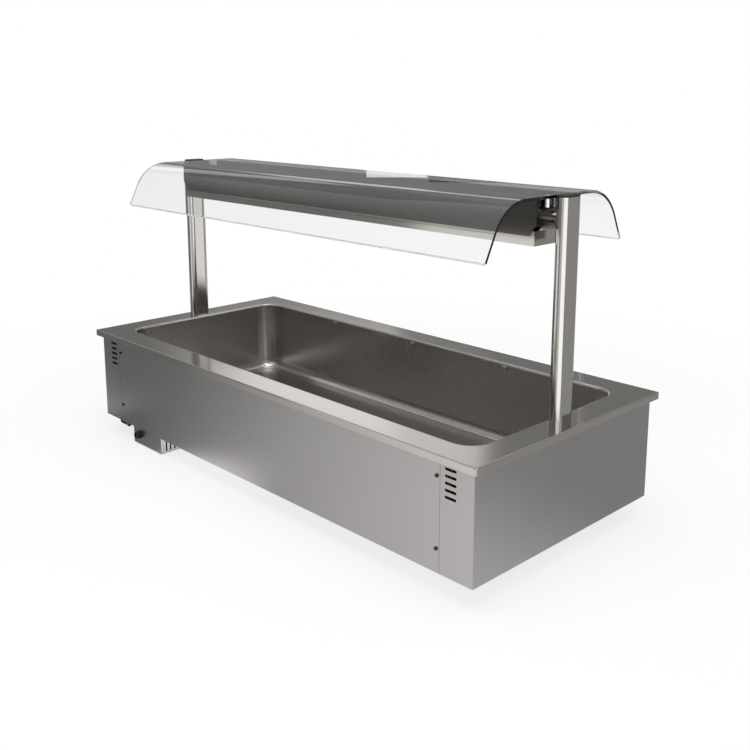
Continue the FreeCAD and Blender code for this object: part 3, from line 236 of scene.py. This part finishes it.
class FoodWellSettings(bpy.types.PropertyGroup):
    """Colours and stage sizes of the food well."""
    deck_colour: bpy.props.StringProperty(
        name="Deck steel", description="sRGB colour of the brushed deck", default="#C4C0BA")
    well_colour: bpy.props.StringProperty(
        name="Well steel", description="sRGB colour of the satin pressed well", default="#C0BDB9")
    casing_colour: bpy.props.StringProperty(
        name="Casing steel", description="sRGB colour of the satin casing panels", default="#B6B3B2")
    post_colour: bpy.props.StringProperty(
        name="Post steel", description="sRGB colour of the oval posts", default="#C8C5C0")
    gantry_colour: bpy.props.StringProperty(
        name="Gantry steel", description="sRGB colour of the dark gantry channel", default="#6C6A66")
    floor_colour: bpy.props.StringProperty(
        name="Floor", description="sRGB colour of the pale floor", default="#F6F6F6")
    floor_reach: bpy.props.FloatProperty(
        name="Floor reach", description="Half the size of the floor", default=12.0, unit="LENGTH")
    floor_white: bpy.props.FloatProperty(
        name="Floor white", description="Share of plain white that the camera sees in the near floor",
        default=0.75, subtype="FACTOR")
    band_low: bpy.props.FloatProperty(
        name="Band end", description="Elevation up to which steel sees the grey band",
        default=math.radians(22.0), subtype="ANGLE")
    band_high: bpy.props.FloatProperty(
        name="Roof start", description="Elevation from which steel sees the roof's grey",
        default=math.radians(50.0), subtype="ANGLE")
    band_grey: bpy.props.FloatProperty(
        name="Band grey", description="Brightness of the grey band", default=0.23)
    roof_grey: bpy.props.FloatProperty(
        name="Roof grey", description="Brightness that steel sees overhead", default=0.75)
    floor_gap: bpy.props.FloatProperty(
        name="Floor gap", description="Room between the lowest point and the floor",
        default=0.001, unit="LENGTH")
    camera_place: bpy.props.FloatVectorProperty(
        name="Camera place", description="Where the camera stands", size=3,
        default=(1.7822, -1.6111, 0.7047), unit="LENGTH")
    camera_yaw: bpy.props.FloatProperty(
        name="Camera yaw", description="Turn of the camera from +Y towards -X",
        default=math.radians(46.04), subtype="ANGLE")
    camera_pitch: bpy.props.FloatProperty(
        name="Camera pitch", description="How far the camera looks down",
        default=math.radians(11.08), subtype="ANGLE")
    camera_focal: bpy.props.FloatProperty(
        name="Focal length in pixels", description="Focal length for a picture 750 pixels wide",
        default=952.6)
    camera_centre_row: bpy.props.FloatProperty(
        name="Centre row", description="Row of the 750 pixel picture that the optical axis meets",
        default=275.0)


# Operators


class FOODWELL_OT_stage(bpy.types.Operator):
    """Makes the floor, the surround, the reflected cards, the soft lights and the camera"""
    bl_idname = "foodwell.stage"
    bl_label = "Stage"

    def execute(self, context):
        stage_floor()
        stage_world()
        stage_cards()
        stage_lights()
        stage_camera()
        return {"FINISHED"}


def ray_kinds(tree):
    """Two links: rays straight from the camera or through glass, and rays by way of steel."""
    rays = add(tree, "ShaderNodeLightPath").outputs
    links = {"half a bounce": 0.5}
    for name in ("Glossy Depth", "Is Transmission Ray", "Is Camera Ray", "Is Glossy Ray"):
        links[name] = rays[name]
    # The new link, how it is made, and the two that it takes.
    for name, operation, first, second in (
            ("mirrored", "GREATER_THAN", "Glossy Depth", "half a bounce"),
            ("through glass", "GREATER_THAN", "Is Transmission Ray", "mirrored"),
            ("mirrored glass", "MULTIPLY", "Is Transmission Ray", "mirrored"),
            ("clear", "MAXIMUM", "Is Camera Ray", "through glass"),
            ("steel", "MAXIMUM", "Is Glossy Ray", "mirrored glass")):
        links[name] = add(tree, "ShaderNodeMath", {0: links[first], 1: links[second]},
                          operation=operation).outputs[0]
    return links["clear"], links["steel"]


def by_ray(tree, output, plain, steel_view, clear_view):
    """Shows one shader to the camera and glass, one to steel, and the plain one to all other rays."""
    clear, steel = ray_kinds(tree)
    lit = add(tree, "ShaderNodeMixShader", {0: steel, 1: plain.outputs[0], 2: steel_view.outputs[0]})
    both = add(tree, "ShaderNodeMixShader", {0: clear, 1: lit.outputs[0], 2: clear_view.outputs[0]})
    tree.links.new(both.outputs[0], output.inputs["Surface"])


def floor_glow(tree, place, level):
    """How bright steel sees each spot of the floor, as a link."""
    spot = add(tree, "ShaderNodeSeparateXYZ", {"Vector": place}).outputs
    pool_middle = (-0.22, -0.2, level)
    from_pool = add(tree, "ShaderNodeVectorMath", {0: place, 1: pool_middle}, operation="DISTANCE")
    measures = {"X": spot["X"], "Y": spot["Y"], "pool": from_pool.outputs["Value"]}
    links = {}
    # Where each change starts and ends in metres, and the brightness or share before and after it.
    for name, measure, first, last, before, after in (
            ("left strip", "X", -0.95, -0.75, 0.65, 0.2),
            ("left strip start", "Y", -0.6, -0.3, 0.2, 0.65),
            ("back strip", "Y", 0.35, 0.6, 0.2, 0.65),
            ("front limit", "Y", -1.4, -1.0, 0.25, 1.0),
            ("right end", "Y", -0.3, 0.35, 0.7, 0.37),
            ("right share", "X", 0.70, 0.72, 0.0, 1.0),
            ("pool", "pool", 0.12, 0.3, 0.9, 0.0)):
        links[name] = add(tree, "ShaderNodeMapRange", {
            "Value": measures[measure], "From Min": first, "From Max": last,
            "To Min": before, "To Max": after}, interpolation_type="SMOOTHSTEP").outputs["Result"]
    # The main slope: how much the brightness changes per metre to the right and to the back.
    to_right, to_back, middle = 0.56, -0.57, 0.36
    depth = add(tree, "ShaderNodeMath", {0: spot["Y"], 1: to_back, 2: middle}, operation="MULTIPLY_ADD")
    links["slope"] = add(tree, "ShaderNodeMath", {0: spot["X"], 1: to_right, 2: depth.outputs[0]},
                         operation="MULTIPLY_ADD").outputs[0]
    # The new link, how it is made, and the two that it takes.
    for name, operation, first, second in (
            ("left", "MINIMUM", "left strip", "left strip start"),
            ("strips", "MAXIMUM", "left", "back strip"),
            ("lit", "MAXIMUM", "slope", "strips"),
            ("limited", "MINIMUM", "lit", "front limit")):
        links[name] = add(tree, "ShaderNodeMath", {0: links[first], 1: links[second]},
                          operation=operation).outputs[0]
    ends = add(tree, "ShaderNodeMix", {0: links["right share"], 2: links["limited"], 3: links["right end"]})
    glow = add(tree, "ShaderNodeMath", {0: ends.outputs[0], 1: links["pool"]}, operation="ADD")
    return glow.outputs[0]


def stage_floor():
    """Pale floor under the object, white further out, with its own glow for steel."""
    look = settings()
    level = CAD_BOUNDS[0].z - look.floor_gap
    reach = look.floor_reach
    whitens_from, white_beyond = 0.8, 2.2
    mesh = bpy.data.meshes.new("floor")
    corners = [(x, y, level) for x, y in ((-reach, -reach), (reach, -reach), (reach, reach), (-reach, reach))]
    mesh.from_pydata(corners, [], [(0, 1, 2, 3)])
    floor = bpy.data.objects.new("floor", mesh)
    bpy.context.scene.collection.objects.link(floor)
    material, tree, output = new_material("pale_floor")
    place = add(tree, "ShaderNodeNewGeometry").outputs["Position"]
    paint = add(tree, "ShaderNodeBsdfDiffuse", {"Color": linear(look.floor_colour)})
    white = add(tree, "ShaderNodeEmission", {"Color": WHITE, "Strength": 1.0})
    away = add(tree, "ShaderNodeVectorMath", {0: place, 1: (0.0, 0.0, level)}, operation="DISTANCE")
    share = add(tree, "ShaderNodeMapRange", {
        "Value": away.outputs["Value"], "From Min": whitens_from, "From Max": white_beyond,
        "To Min": look.floor_white, "To Max": 1.0}, interpolation_type="SMOOTHSTEP")
    seen = add(tree, "ShaderNodeMixShader", {
        0: share.outputs["Result"], 1: paint.outputs[0], 2: white.outputs[0]})
    mirrored = add(tree, "ShaderNodeEmission", {"Color": WHITE, "Strength": floor_glow(tree, place, level)})
    by_ray(tree, output, paint, mirrored, seen)
    mesh.materials.append(material)


def stage_world():
    """White surround for the camera and glass; steel sees a grey band low down and a paler roof."""
    look = settings()
    fill_colour, fill_strength = "#E2E4E6", 0.75
    world = bpy.data.worlds.new("surround")
    bpy.context.scene.world = world
    world.use_nodes = True
    tree = world.node_tree
    tree.nodes.clear()
    output = tree.nodes.new("ShaderNodeOutputWorld")
    way = add(tree, "ShaderNodeTexCoord").outputs["Generated"]
    height = add(tree, "ShaderNodeSeparateXYZ", {"Vector": way}).outputs["Z"]
    band = add(tree, "ShaderNodeMapRange", {
        "Value": height, "From Min": math.sin(look.band_low), "From Max": math.sin(look.band_high),
        "To Min": look.band_grey, "To Max": look.roof_grey}, interpolation_type="SMOOTHSTEP")
    fill = add(tree, "ShaderNodeBackground", {"Color": linear(fill_colour), "Strength": fill_strength})
    mirrored = add(tree, "ShaderNodeBackground", {"Color": WHITE, "Strength": band.outputs["Result"]})
    white = add(tree, "ShaderNodeBackground", {"Color": WHITE, "Strength": 1.0})
    by_ray(tree, output, fill, mirrored, white)


def reflected_card(name, corners, strength, faded=0.0):
    """A glowing card that only reflections see. A share of its -X end can fade to the band's grey."""
    mesh = bpy.data.meshes.new(name)
    mesh.from_pydata(corners, [], [(0, 1, 2, 3)])
    card = bpy.data.objects.new(name, mesh)
    bpy.context.scene.collection.objects.link(card)
    card.visible_camera = False
    card.visible_diffuse = False
    card.visible_transmission = False
    card.visible_shadow = False
    material, tree, output = new_material(name)
    if faded:
        place = add(tree, "ShaderNodeTexCoord").outputs["Generated"]
        across = add(tree, "ShaderNodeSeparateXYZ", {"Vector": place}).outputs["X"]
        strength = add(tree, "ShaderNodeMapRange", {
            "Value": across, "From Min": 0.0, "From Max": faded, "To Min": settings().band_grey,
            "To Max": strength}, interpolation_type="SMOOTHSTEP").outputs["Result"]
    light = add(tree, "ShaderNodeEmission", {"Color": WHITE, "Strength": strength})
    tree.links.new(light.outputs[0], output.inputs["Surface"])
    mesh.materials.append(material)


def far_card(name, turn, rise, strength, faded):
    """A card far away, between two azimuths and two elevations in degrees."""
    distance = 60.0
    corners = []
    start, end = turn
    low, high = rise
    for azimuth, elevation in ((start, low), (end, low), (end, high), (start, high)):
        heading = math.radians(azimuth)
        corners.append((-distance * math.sin(heading), distance * math.cos(heading),
                        distance * math.tan(math.radians(elevation))))
    reflected_card(name, corners, strength, faded)


def standing_card(name, middle, facing, half_width, top, strength):
    """An upright card near the object, from the ground up, that faces along a direction."""
    ground = CAD_BOUNDS[0].z
    side = Vector((-facing[1], facing[0], 0)).normalized() * half_width
    left = Vector((middle[0], middle[1], 0)) - side
    right = Vector((middle[0], middle[1], 0)) + side
    reflected_card(name, [(left.x, left.y, ground), (right.x, right.y, ground),
                          (right.x, right.y, top), (left.x, left.y, top)], strength)


def stage_cards():
    """Panels and dark flags whose reflections run along the front of the deck, the glass and the posts."""
    # Name, azimuths from +Y towards -X, elevations, brightness, and the share of the -X end that fades.
    far_cards = (
        ("wide_panel", (44.5, 60.0), (15.0, 23.5), 1.2, 0.45),
        ("side_panel", (-75.0, -46.0), (6.0, 40.0), 0.85, 0.0),
        ("wide_panel_top", (44.5, 56.6), (23.5, 45.0), 0.35, 0.0),
        ("narrow_panel", (38.8, 44.5), (18.5, 24.5), 1.0, 0.0),
        ("narrow_panel_top", (36.0, 44.5), (24.5, 45.0), 0.35, 0.0),
        ("high_panel", (57.3, 80.0), (25.0, 31.0), 1.1, 0.0),
        ("high_flag", (56.6, 85.0), (31.0, 45.0), 0.2, 0.0),
        ("grey_flag", (60.0, 85.0), (-3.0, 25.0), 0.2, 0.0),
        ("long_gleam", (42.7, 46.5), (-4.0, 5.7), 1.0, 0.0),
        ("right_flag", (37.8, 42.6), (-4.0, 6.0), 0.08, 0.0),
    )
    for card in far_cards:
        far_card(*card)
    # Name, middle and direction faced as X and Y, half width, top and brightness.
    standing_cards = (
        ("back_panel", (0.3, 0.63), (0.836, 0.548), 0.14, 0.4, 1.15),
        ("right_panel", (1.49, -0.4), (0.9, -0.44), 0.55, 0.45, 1.6),
        ("left_panel", (-0.42, -1.54), (-0.586, -0.81), 0.5, 0.45, 1.1),
    )
    for card in standing_cards:
        standing_card(*card)


def soft_box(name, place, aim, width, height, power):
    """One rectangular lamp aimed at a point, which steel doesn't mirror."""
    lamp = bpy.data.lights.new(name, "AREA")
    lamp.shape = "RECTANGLE"
    lamp.size = width
    lamp.size_y = height
    lamp.energy = power
    thing = bpy.data.objects.new(name, lamp)
    thing.location = place
    thing.visible_glossy = False
    thing.rotation_euler = (Vector(aim) - Vector(place)).to_track_quat("-Z", "Y").to_euler()
    bpy.context.scene.collection.objects.link(thing)


def stage_lights():
    """Large soft boxes above and to the right of the front."""
    soft_box("top_light", place=(0.3, -0.4, 3.2), aim=(0, 0, 0.1), width=3.0, height=2.0, power=60)
    soft_box("front_light", place=(2.2, -3.2, 1.6), aim=(0.2, 0, 0.1), width=1.8, height=1.6, power=40)


def stage_camera():
    """Camera at the photograph's place, for a square picture."""
    look = settings()
    picture = 750
    sensor_mm = 36
    lens = bpy.data.cameras.new("camera")
    lens.sensor_width = sensor_mm
    lens.lens = look.camera_focal / picture * sensor_mm
    lens.shift_y = (look.camera_centre_row - picture / 2) / picture
    thing = bpy.data.objects.new("camera", lens)
    thing.location = look.camera_place
    thing.rotation_euler = (math.pi / 2 - look.camera_pitch, 0, look.camera_yaw)
    bpy.context.scene.collection.objects.link(thing)
    bpy.context.scene.camera = thing
    bpy.context.scene.view_settings.view_transform = "Standard"


class FOODWELL_OT_sheet_steel(bpy.types.Operator):
    """Finishes the deck, the well, the casing, the posts, the gantry and the hidden sheet parts"""
    bl_idname = "foodwell.sheet_steel"
    bl_label = "Sheet and tube"

    def execute(self, context):
        look = settings()
        # Stainless sheet brushed along its length: bright, with reflections smeared a little by the lines.
        deck = brushed_metal("brushed_stainless_deck", look.deck_colour, roughness=0.14, along="X",
                             grain_mm=1.6, depth_mm=0.01)
        assign(["deck_top", "gn_clips", "lamp_tray"], deck)
        # Pressed stainless with a satin all over: broad soft glows and shades, and no lines to see.
        well = brushed_metal("satin_pressed_well", look.well_colour, roughness=0.23, along="XY",
                             grain_mm=1.2, depth_mm=0.0, cloud=0.008)
        assign(["tank"], well)
        # Satin stainless panels: an even grey that deepens slowly up the side, with faint level lines.
        casing = brushed_metal("satin_stainless_casing", look.casing_colour, roughness=0.3, along="X",
                               grain_mm=1.6, depth_mm=0.02)
        assign(["front_panel", "rear_panel", "left_end_panel", "right_end_panel",
                "control_box", "control_box_lid"], casing)
        # Polished stainless tube: upright stripes of light and dark with crisp edges.
        post = brushed_metal("polished_stainless_tube", look.post_colour, roughness=0.14, along="Z",
                             grain_mm=1.2, depth_mm=0.02)
        assign(["left_post", "right_post", "post_feet", "gantry_saddles"], post)
        # Darkened stainless channel: a deep grey that mirrors its surround dimly.
        gantry = brushed_metal("dark_stainless_channel", look.gantry_colour, roughness=0.24, along="X",
                               grain_mm=1.6, depth_mm=0.0, cloud=0.02)
        assign(["gantry_skin", "gantry_ends"], gantry)
        # Hot-dipped zinc on steel sheet: dull blue-grey with cloudy crystals about 6 mm wide.
        zinc = brushed_metal("zinc_coated_sheet", "#A3A8AC", roughness=0.42, along="X",
                             grain_mm=6.0, depth_mm=0.05, cloud=0.12)
        assign(["base_panel", "side_rails", "end_rails", "post_plates", "element_clamps"], zinc)
        return {"FINISHED"}


class FOODWELL_OT_fittings(bpy.types.Operator):
    """Finishes the drain, the lamp hardware, the heater, the valve and the screws"""
    bl_idname = "foodwell.fittings"
    bl_label = "Metal fittings"

    def execute(self, context):
        # Buffed stainless: near mirror, with clear small highlights.
        bright = brushed_metal("polished_stainless", "#CFCECB", roughness=0.08, along="X",
                               grain_mm=3.0, depth_mm=0.01, cloud=0.02)
        assign(["glass_standoffs", "lamp_reflector", "waste_fitting", "drain_strainer", "strainer_collar",
                "waste_backnut", "thermostat_probe", "lamp_guard", "heating_element"], bright)
        # Turned stainless screws: pale, with a soft sheen from the cutting marks.
        screw = brushed_metal("turned_steel_screw", "#B9B9B7", roughness=0.22, along="Y",
                              grain_mm=0.8, depth_mm=0.02)
        assign(["clamp_studs", "post_bolts", "gantry_bolts", "standoff_screws", "lever_screw"], screw)
        # Chemically blackened screws: small dark dots on the pale casing.
        dark_screw = brushed_metal("darkened_casing_screw", "#454443", roughness=0.34, along="Y",
                                   grain_mm=0.8, depth_mm=0.02)
        assign(["panel_screws", "box_screws"], dark_screw)
        # Brass with a thin nickel plate: warm pale metal with soft highlights.
        brass = brushed_metal("nickelled_brass", "#B9A982", roughness=0.28, along="Z",
                              grain_mm=1.0, depth_mm=0.02)
        assign(["valve_body", "valve_ball", "valve_stem"], brass)
        return {"FINISHED"}


class FOODWELL_OT_mouldings(bpy.types.Operator):
    """Finishes the plastic, rubber, ceramic and wool pieces"""
    bl_idname = "foodwell.mouldings"
    bl_label = "Mouldings and insulation"

    def execute(self, context):
        # Injection-moulded polyamide with a spark-eroded texture: near black, with a wide dull sheen.
        plastic = moulded("moulded_black_polyamide", "#141414", roughness=0.42, grain_mm=0.8, depth_mm=0.03)
        assign(["post_caps", "drain_lever", "cable_gland", "gland_nut", "thermostat_knob",
                "thermostat_body", "well_switch_body", "lamp_switch_body", "well_rocker", "lamp_rocker",
                "safety_cutout"], plastic)
        # Pressed nitrile rubber: matt black with hardly a highlight.
        rubber = moulded("black_rubber", "#101010", roughness=0.7, grain_mm=0.6, depth_mm=0.04)
        assign(["waste_gasket", "standoff_gaskets"], rubber)
        # Glazed steatite: off-white with small sharp highlights and a faint ripple in the glaze.
        ceramic = moulded("glazed_ceramic", "#E4E0D6", roughness=0.2, grain_mm=2.0, depth_mm=0.02)
        assign(["lamp_holders", "terminal_block"], ceramic)
        # Spun mineral wool pads: matt tan with tufts about 3 mm across.
        wool = moulded("mineral_wool", "#A8986A", roughness=0.95, grain_mm=3.0, depth_mm=1.2)
        assign(["side_insulation", "end_insulation", "floor_insulation"], wool)
        return {"FINISHED"}


class FOODWELL_OT_glass(bpy.types.Operator):
    """Finishes the glass canopy and the lamps' quartz tubes"""
    bl_idname = "foodwell.glass"
    bl_label = "Glass and quartz"

    def execute(self, context):
        ground_edge = 2.9 * MM
        assign(["glass_canopy"], clear_glass(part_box("glass_canopy")[0].z + ground_edge))
        assign(["heat_lamps"], quartz_tube())
        return {"FINISHED"}


class FOODWELL_OT_filaments(bpy.types.Operator):
    """Puts a coiled tungsten filament in each quartz lamp"""
    bl_idname = "foodwell.filaments"
    bl_label = "Lamp filaments"

    def execute(self, context):
        low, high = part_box("heat_lamps")
        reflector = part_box("lamp_reflector")
        lamps = 4
        coil_radius = 1.5 * MM
        coil_pitch = 2.4 * MM
        wire_radius = 0.35 * MM
        points_per_turn = 9
        sealed_ends = 24 * MM
        lamp_pitch = (reflector[1].x - reflector[0].x) / lamps
        length = (high.x - low.x) - lamp_pitch * (lamps - 1) - sealed_ends
        level = (low.z + high.z) / 2
        steps = int(length / coil_pitch * points_per_turn)
        curve = bpy.data.curves.new("lamp_filaments", "CURVE")
        curve.dimensions = "3D"
        curve.bevel_depth = wire_radius
        curve.bevel_resolution = 1
        for lamp in range(lamps):
            start = (lamp - (lamps - 1) / 2) * lamp_pitch - length / 2
            spline = curve.splines.new("POLY")
            spline.points.add(steps)
            for step in range(steps + 1):
                angle = 2 * math.pi * step / points_per_turn
                spline.points[step].co = (start + length * step / steps, coil_radius * math.cos(angle),
                                          level + coil_radius * math.sin(angle), 1)
        curve.materials.append(tungsten_wire())
        place_piece(bpy.data.objects.new("lamp_filaments", curve), BODY)
        return {"FINISHED"}


def place_piece(piece, body):
    """Links a piece and makes it ride a body."""
    bpy.context.scene.collection.objects.link(piece)
    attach(piece, body)


def mesh_piece(name, shape, material, body):
    """A piece from a finished bmesh."""
    mesh = bpy.data.meshes.new(name)
    bmesh.ops.recalc_face_normals(shape, faces=shape.faces)
    shape.to_mesh(mesh)
    shape.free()
    mesh.materials.append(material)
    place_piece(bpy.data.objects.new(name, mesh), body)


def raised_outline(shape, outline, lift):
    """One flat outline raised along a vector, as closed faces."""
    face = shape.faces.new([shape.verts.new(point) for point in outline])
    grown = bmesh.ops.extrude_face_region(shape, geom=[face])["geom"]
    bmesh.ops.translate(shape, vec=lift, verts=[v for v in grown if isinstance(v, bmesh.types.BMVert)])


def raised_bar(shape, centre, out, across, near, far, half_width, lift):
    """A raised straight bar between two distances from a centre."""
    side = across * half_width
    raised_outline(shape, [centre + out * near - side, centre + out * far - side,
                           centre + out * far + side, centre + out * near + side], lift)


def raised_ring(shape, centre, side, up, outer, inner, lift):
    """A raised round ring in the plane of two directions."""
    steps = 28
    for step in range(steps):
        corners = []
        for radius, share in ((outer, step), (outer, step + 1), (inner, step + 1), (inner, step)):
            angle = 2 * math.pi * share / steps
            corners.append(centre + side * (radius * math.cos(angle)) + up * (radius * math.sin(angle)))
        raised_outline(shape, corners, lift)


def dial_ticks(centre):
    """The scale's ticks on the box, from where the pointer rests to where the knob stops."""
    ticks = 11
    long_every = 5
    sweep = math.radians(270)
    start = 16.2 * MM
    short_end, short_half_width = 18.6 * MM, 0.28 * MM
    long_end, long_half_width = 19.8 * MM, 0.45 * MM
    lift = Vector((-0.15 * MM, 0, 0))
    shape = bmesh.new()
    for tick in range(ticks):
        angle = sweep * tick / (ticks - 1)
        out = Vector((0, math.sin(angle), math.cos(angle)))
        across = Vector((0, math.cos(angle), -math.sin(angle)))
        if tick % long_every == 0:
            raised_bar(shape, centre, out, across, start, long_end, long_half_width, lift)
        else:
            raised_bar(shape, centre, out, across, start, short_end, short_half_width, lift)
    return shape


def pointer_line(centre):
    """The line on the knob's front, upright at rest."""
    start, end = 3 * MM, 10.5 * MM
    half_width = 0.6 * MM
    lift = Vector((-0.12 * MM, 0, 0))
    shape = bmesh.new()
    raised_bar(shape, centre, Vector((0, 0, 1)), Vector((0, 1, 0)), start, end, half_width, lift)
    return shape


class FOODWELL_OT_knob_scale(bpy.types.Operator):
    """Prints the temperature scale round the knob and the pointer line on it"""
    bl_idname = "foodwell.knob_scale"
    bl_label = "Knob scale"

    def execute(self, context):
        ink = pad_print()
        sunk = 0.02 * MM
        low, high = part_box("thermostat_knob")
        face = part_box("control_box")[0].x
        middle = (low + high) / 2
        on_box = Vector((face, middle.y, middle.z))
        on_knob = Vector((low.x + sunk, middle.y, middle.z))
        mesh_piece("knob_scale", dial_ticks(on_box), ink, BODY)
        mesh_piece("knob_pointer", pointer_line(on_knob), ink, "knob")
        return {"FINISHED"}


class FOODWELL_OT_switch_marks(bpy.types.Operator):
    """Prints the off ring and the on bar on each rocker"""
    bl_idname = "foodwell.switch_marks"
    bl_label = "Switch marks"

    def execute(self, context):
        ink = pad_print()
        # At rest each rocker's face is tilted half of its travel, and its middle lies off the box's middle.
        tilt = math.radians(10)
        face_depth = 2.01 * MM
        face_shift = 0.7 * MM
        out = Vector((-math.cos(tilt), -math.sin(tilt), 0))
        along = Vector((math.sin(tilt), -math.cos(tilt), 0))
        up = Vector((0, 0, 1))
        lift = out * (0.12 * MM)
        mark_shift = along * (6 * MM)
        ring_outer, ring_inner = 2.4 * MM, 1.8 * MM
        bar_half_length, bar_half_width = 2.4 * MM, 0.3 * MM
        for rocker in ("well_rocker", "lamp_rocker"):
            low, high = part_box(rocker)
            centre = Vector((low.x + face_depth, (low.y + high.y) / 2 - face_shift, (low.z + high.z) / 2))
            shape = bmesh.new()
            raised_ring(shape, centre + mark_shift, along, up, ring_outer, ring_inner, lift)
            raised_bar(shape, centre - mark_shift, up, along, -bar_half_length, bar_half_length,
                       bar_half_width, lift)
            mesh_piece(rocker + "_marks", shape, ink, rocker)
        return {"FINISHED"}


class FOODWELL_PT_panel(bpy.types.Panel):
    """Lists the steps that dress the food well"""
    bl_label = "Food well"
    bl_idname = "FOODWELL_PT_panel"
    bl_space_type = "VIEW_3D"
    bl_region_type = "UI"
    bl_category = "Food well"

    def draw(self, context):
        for operator in OPERATORS:
            self.layout.operator(operator.bl_idname)


OPERATORS = (FOODWELL_OT_stage, FOODWELL_OT_sheet_steel, FOODWELL_OT_fittings, FOODWELL_OT_mouldings,
             FOODWELL_OT_glass, FOODWELL_OT_filaments, FOODWELL_OT_knob_scale, FOODWELL_OT_switch_marks)
CLASSES = (FoodWellSettings,) + OPERATORS + (FOODWELL_PT_panel,)


def register():
    for cls in CLASSES:
        bpy.utils.register_class(cls)
    bpy.types.Scene.food_well = bpy.props.PointerProperty(type=FoodWellSettings)


def unregister():
    del bpy.types.Scene.food_well
    for cls in reversed(CLASSES):
        bpy.utils.unregister_class(cls)


def main():
    """Registers the add-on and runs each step."""
    register()
    bpy.ops.foodwell.stage()
    bpy.ops.foodwell.sheet_steel()
    bpy.ops.foodwell.fittings()
    bpy.ops.foodwell.mouldings()
    bpy.ops.foodwell.glass()
    bpy.ops.foodwell.filaments()
    bpy.ops.foodwell.knob_scale()
    bpy.ops.foodwell.switch_marks()


if __name__ == "__main__":
    main()
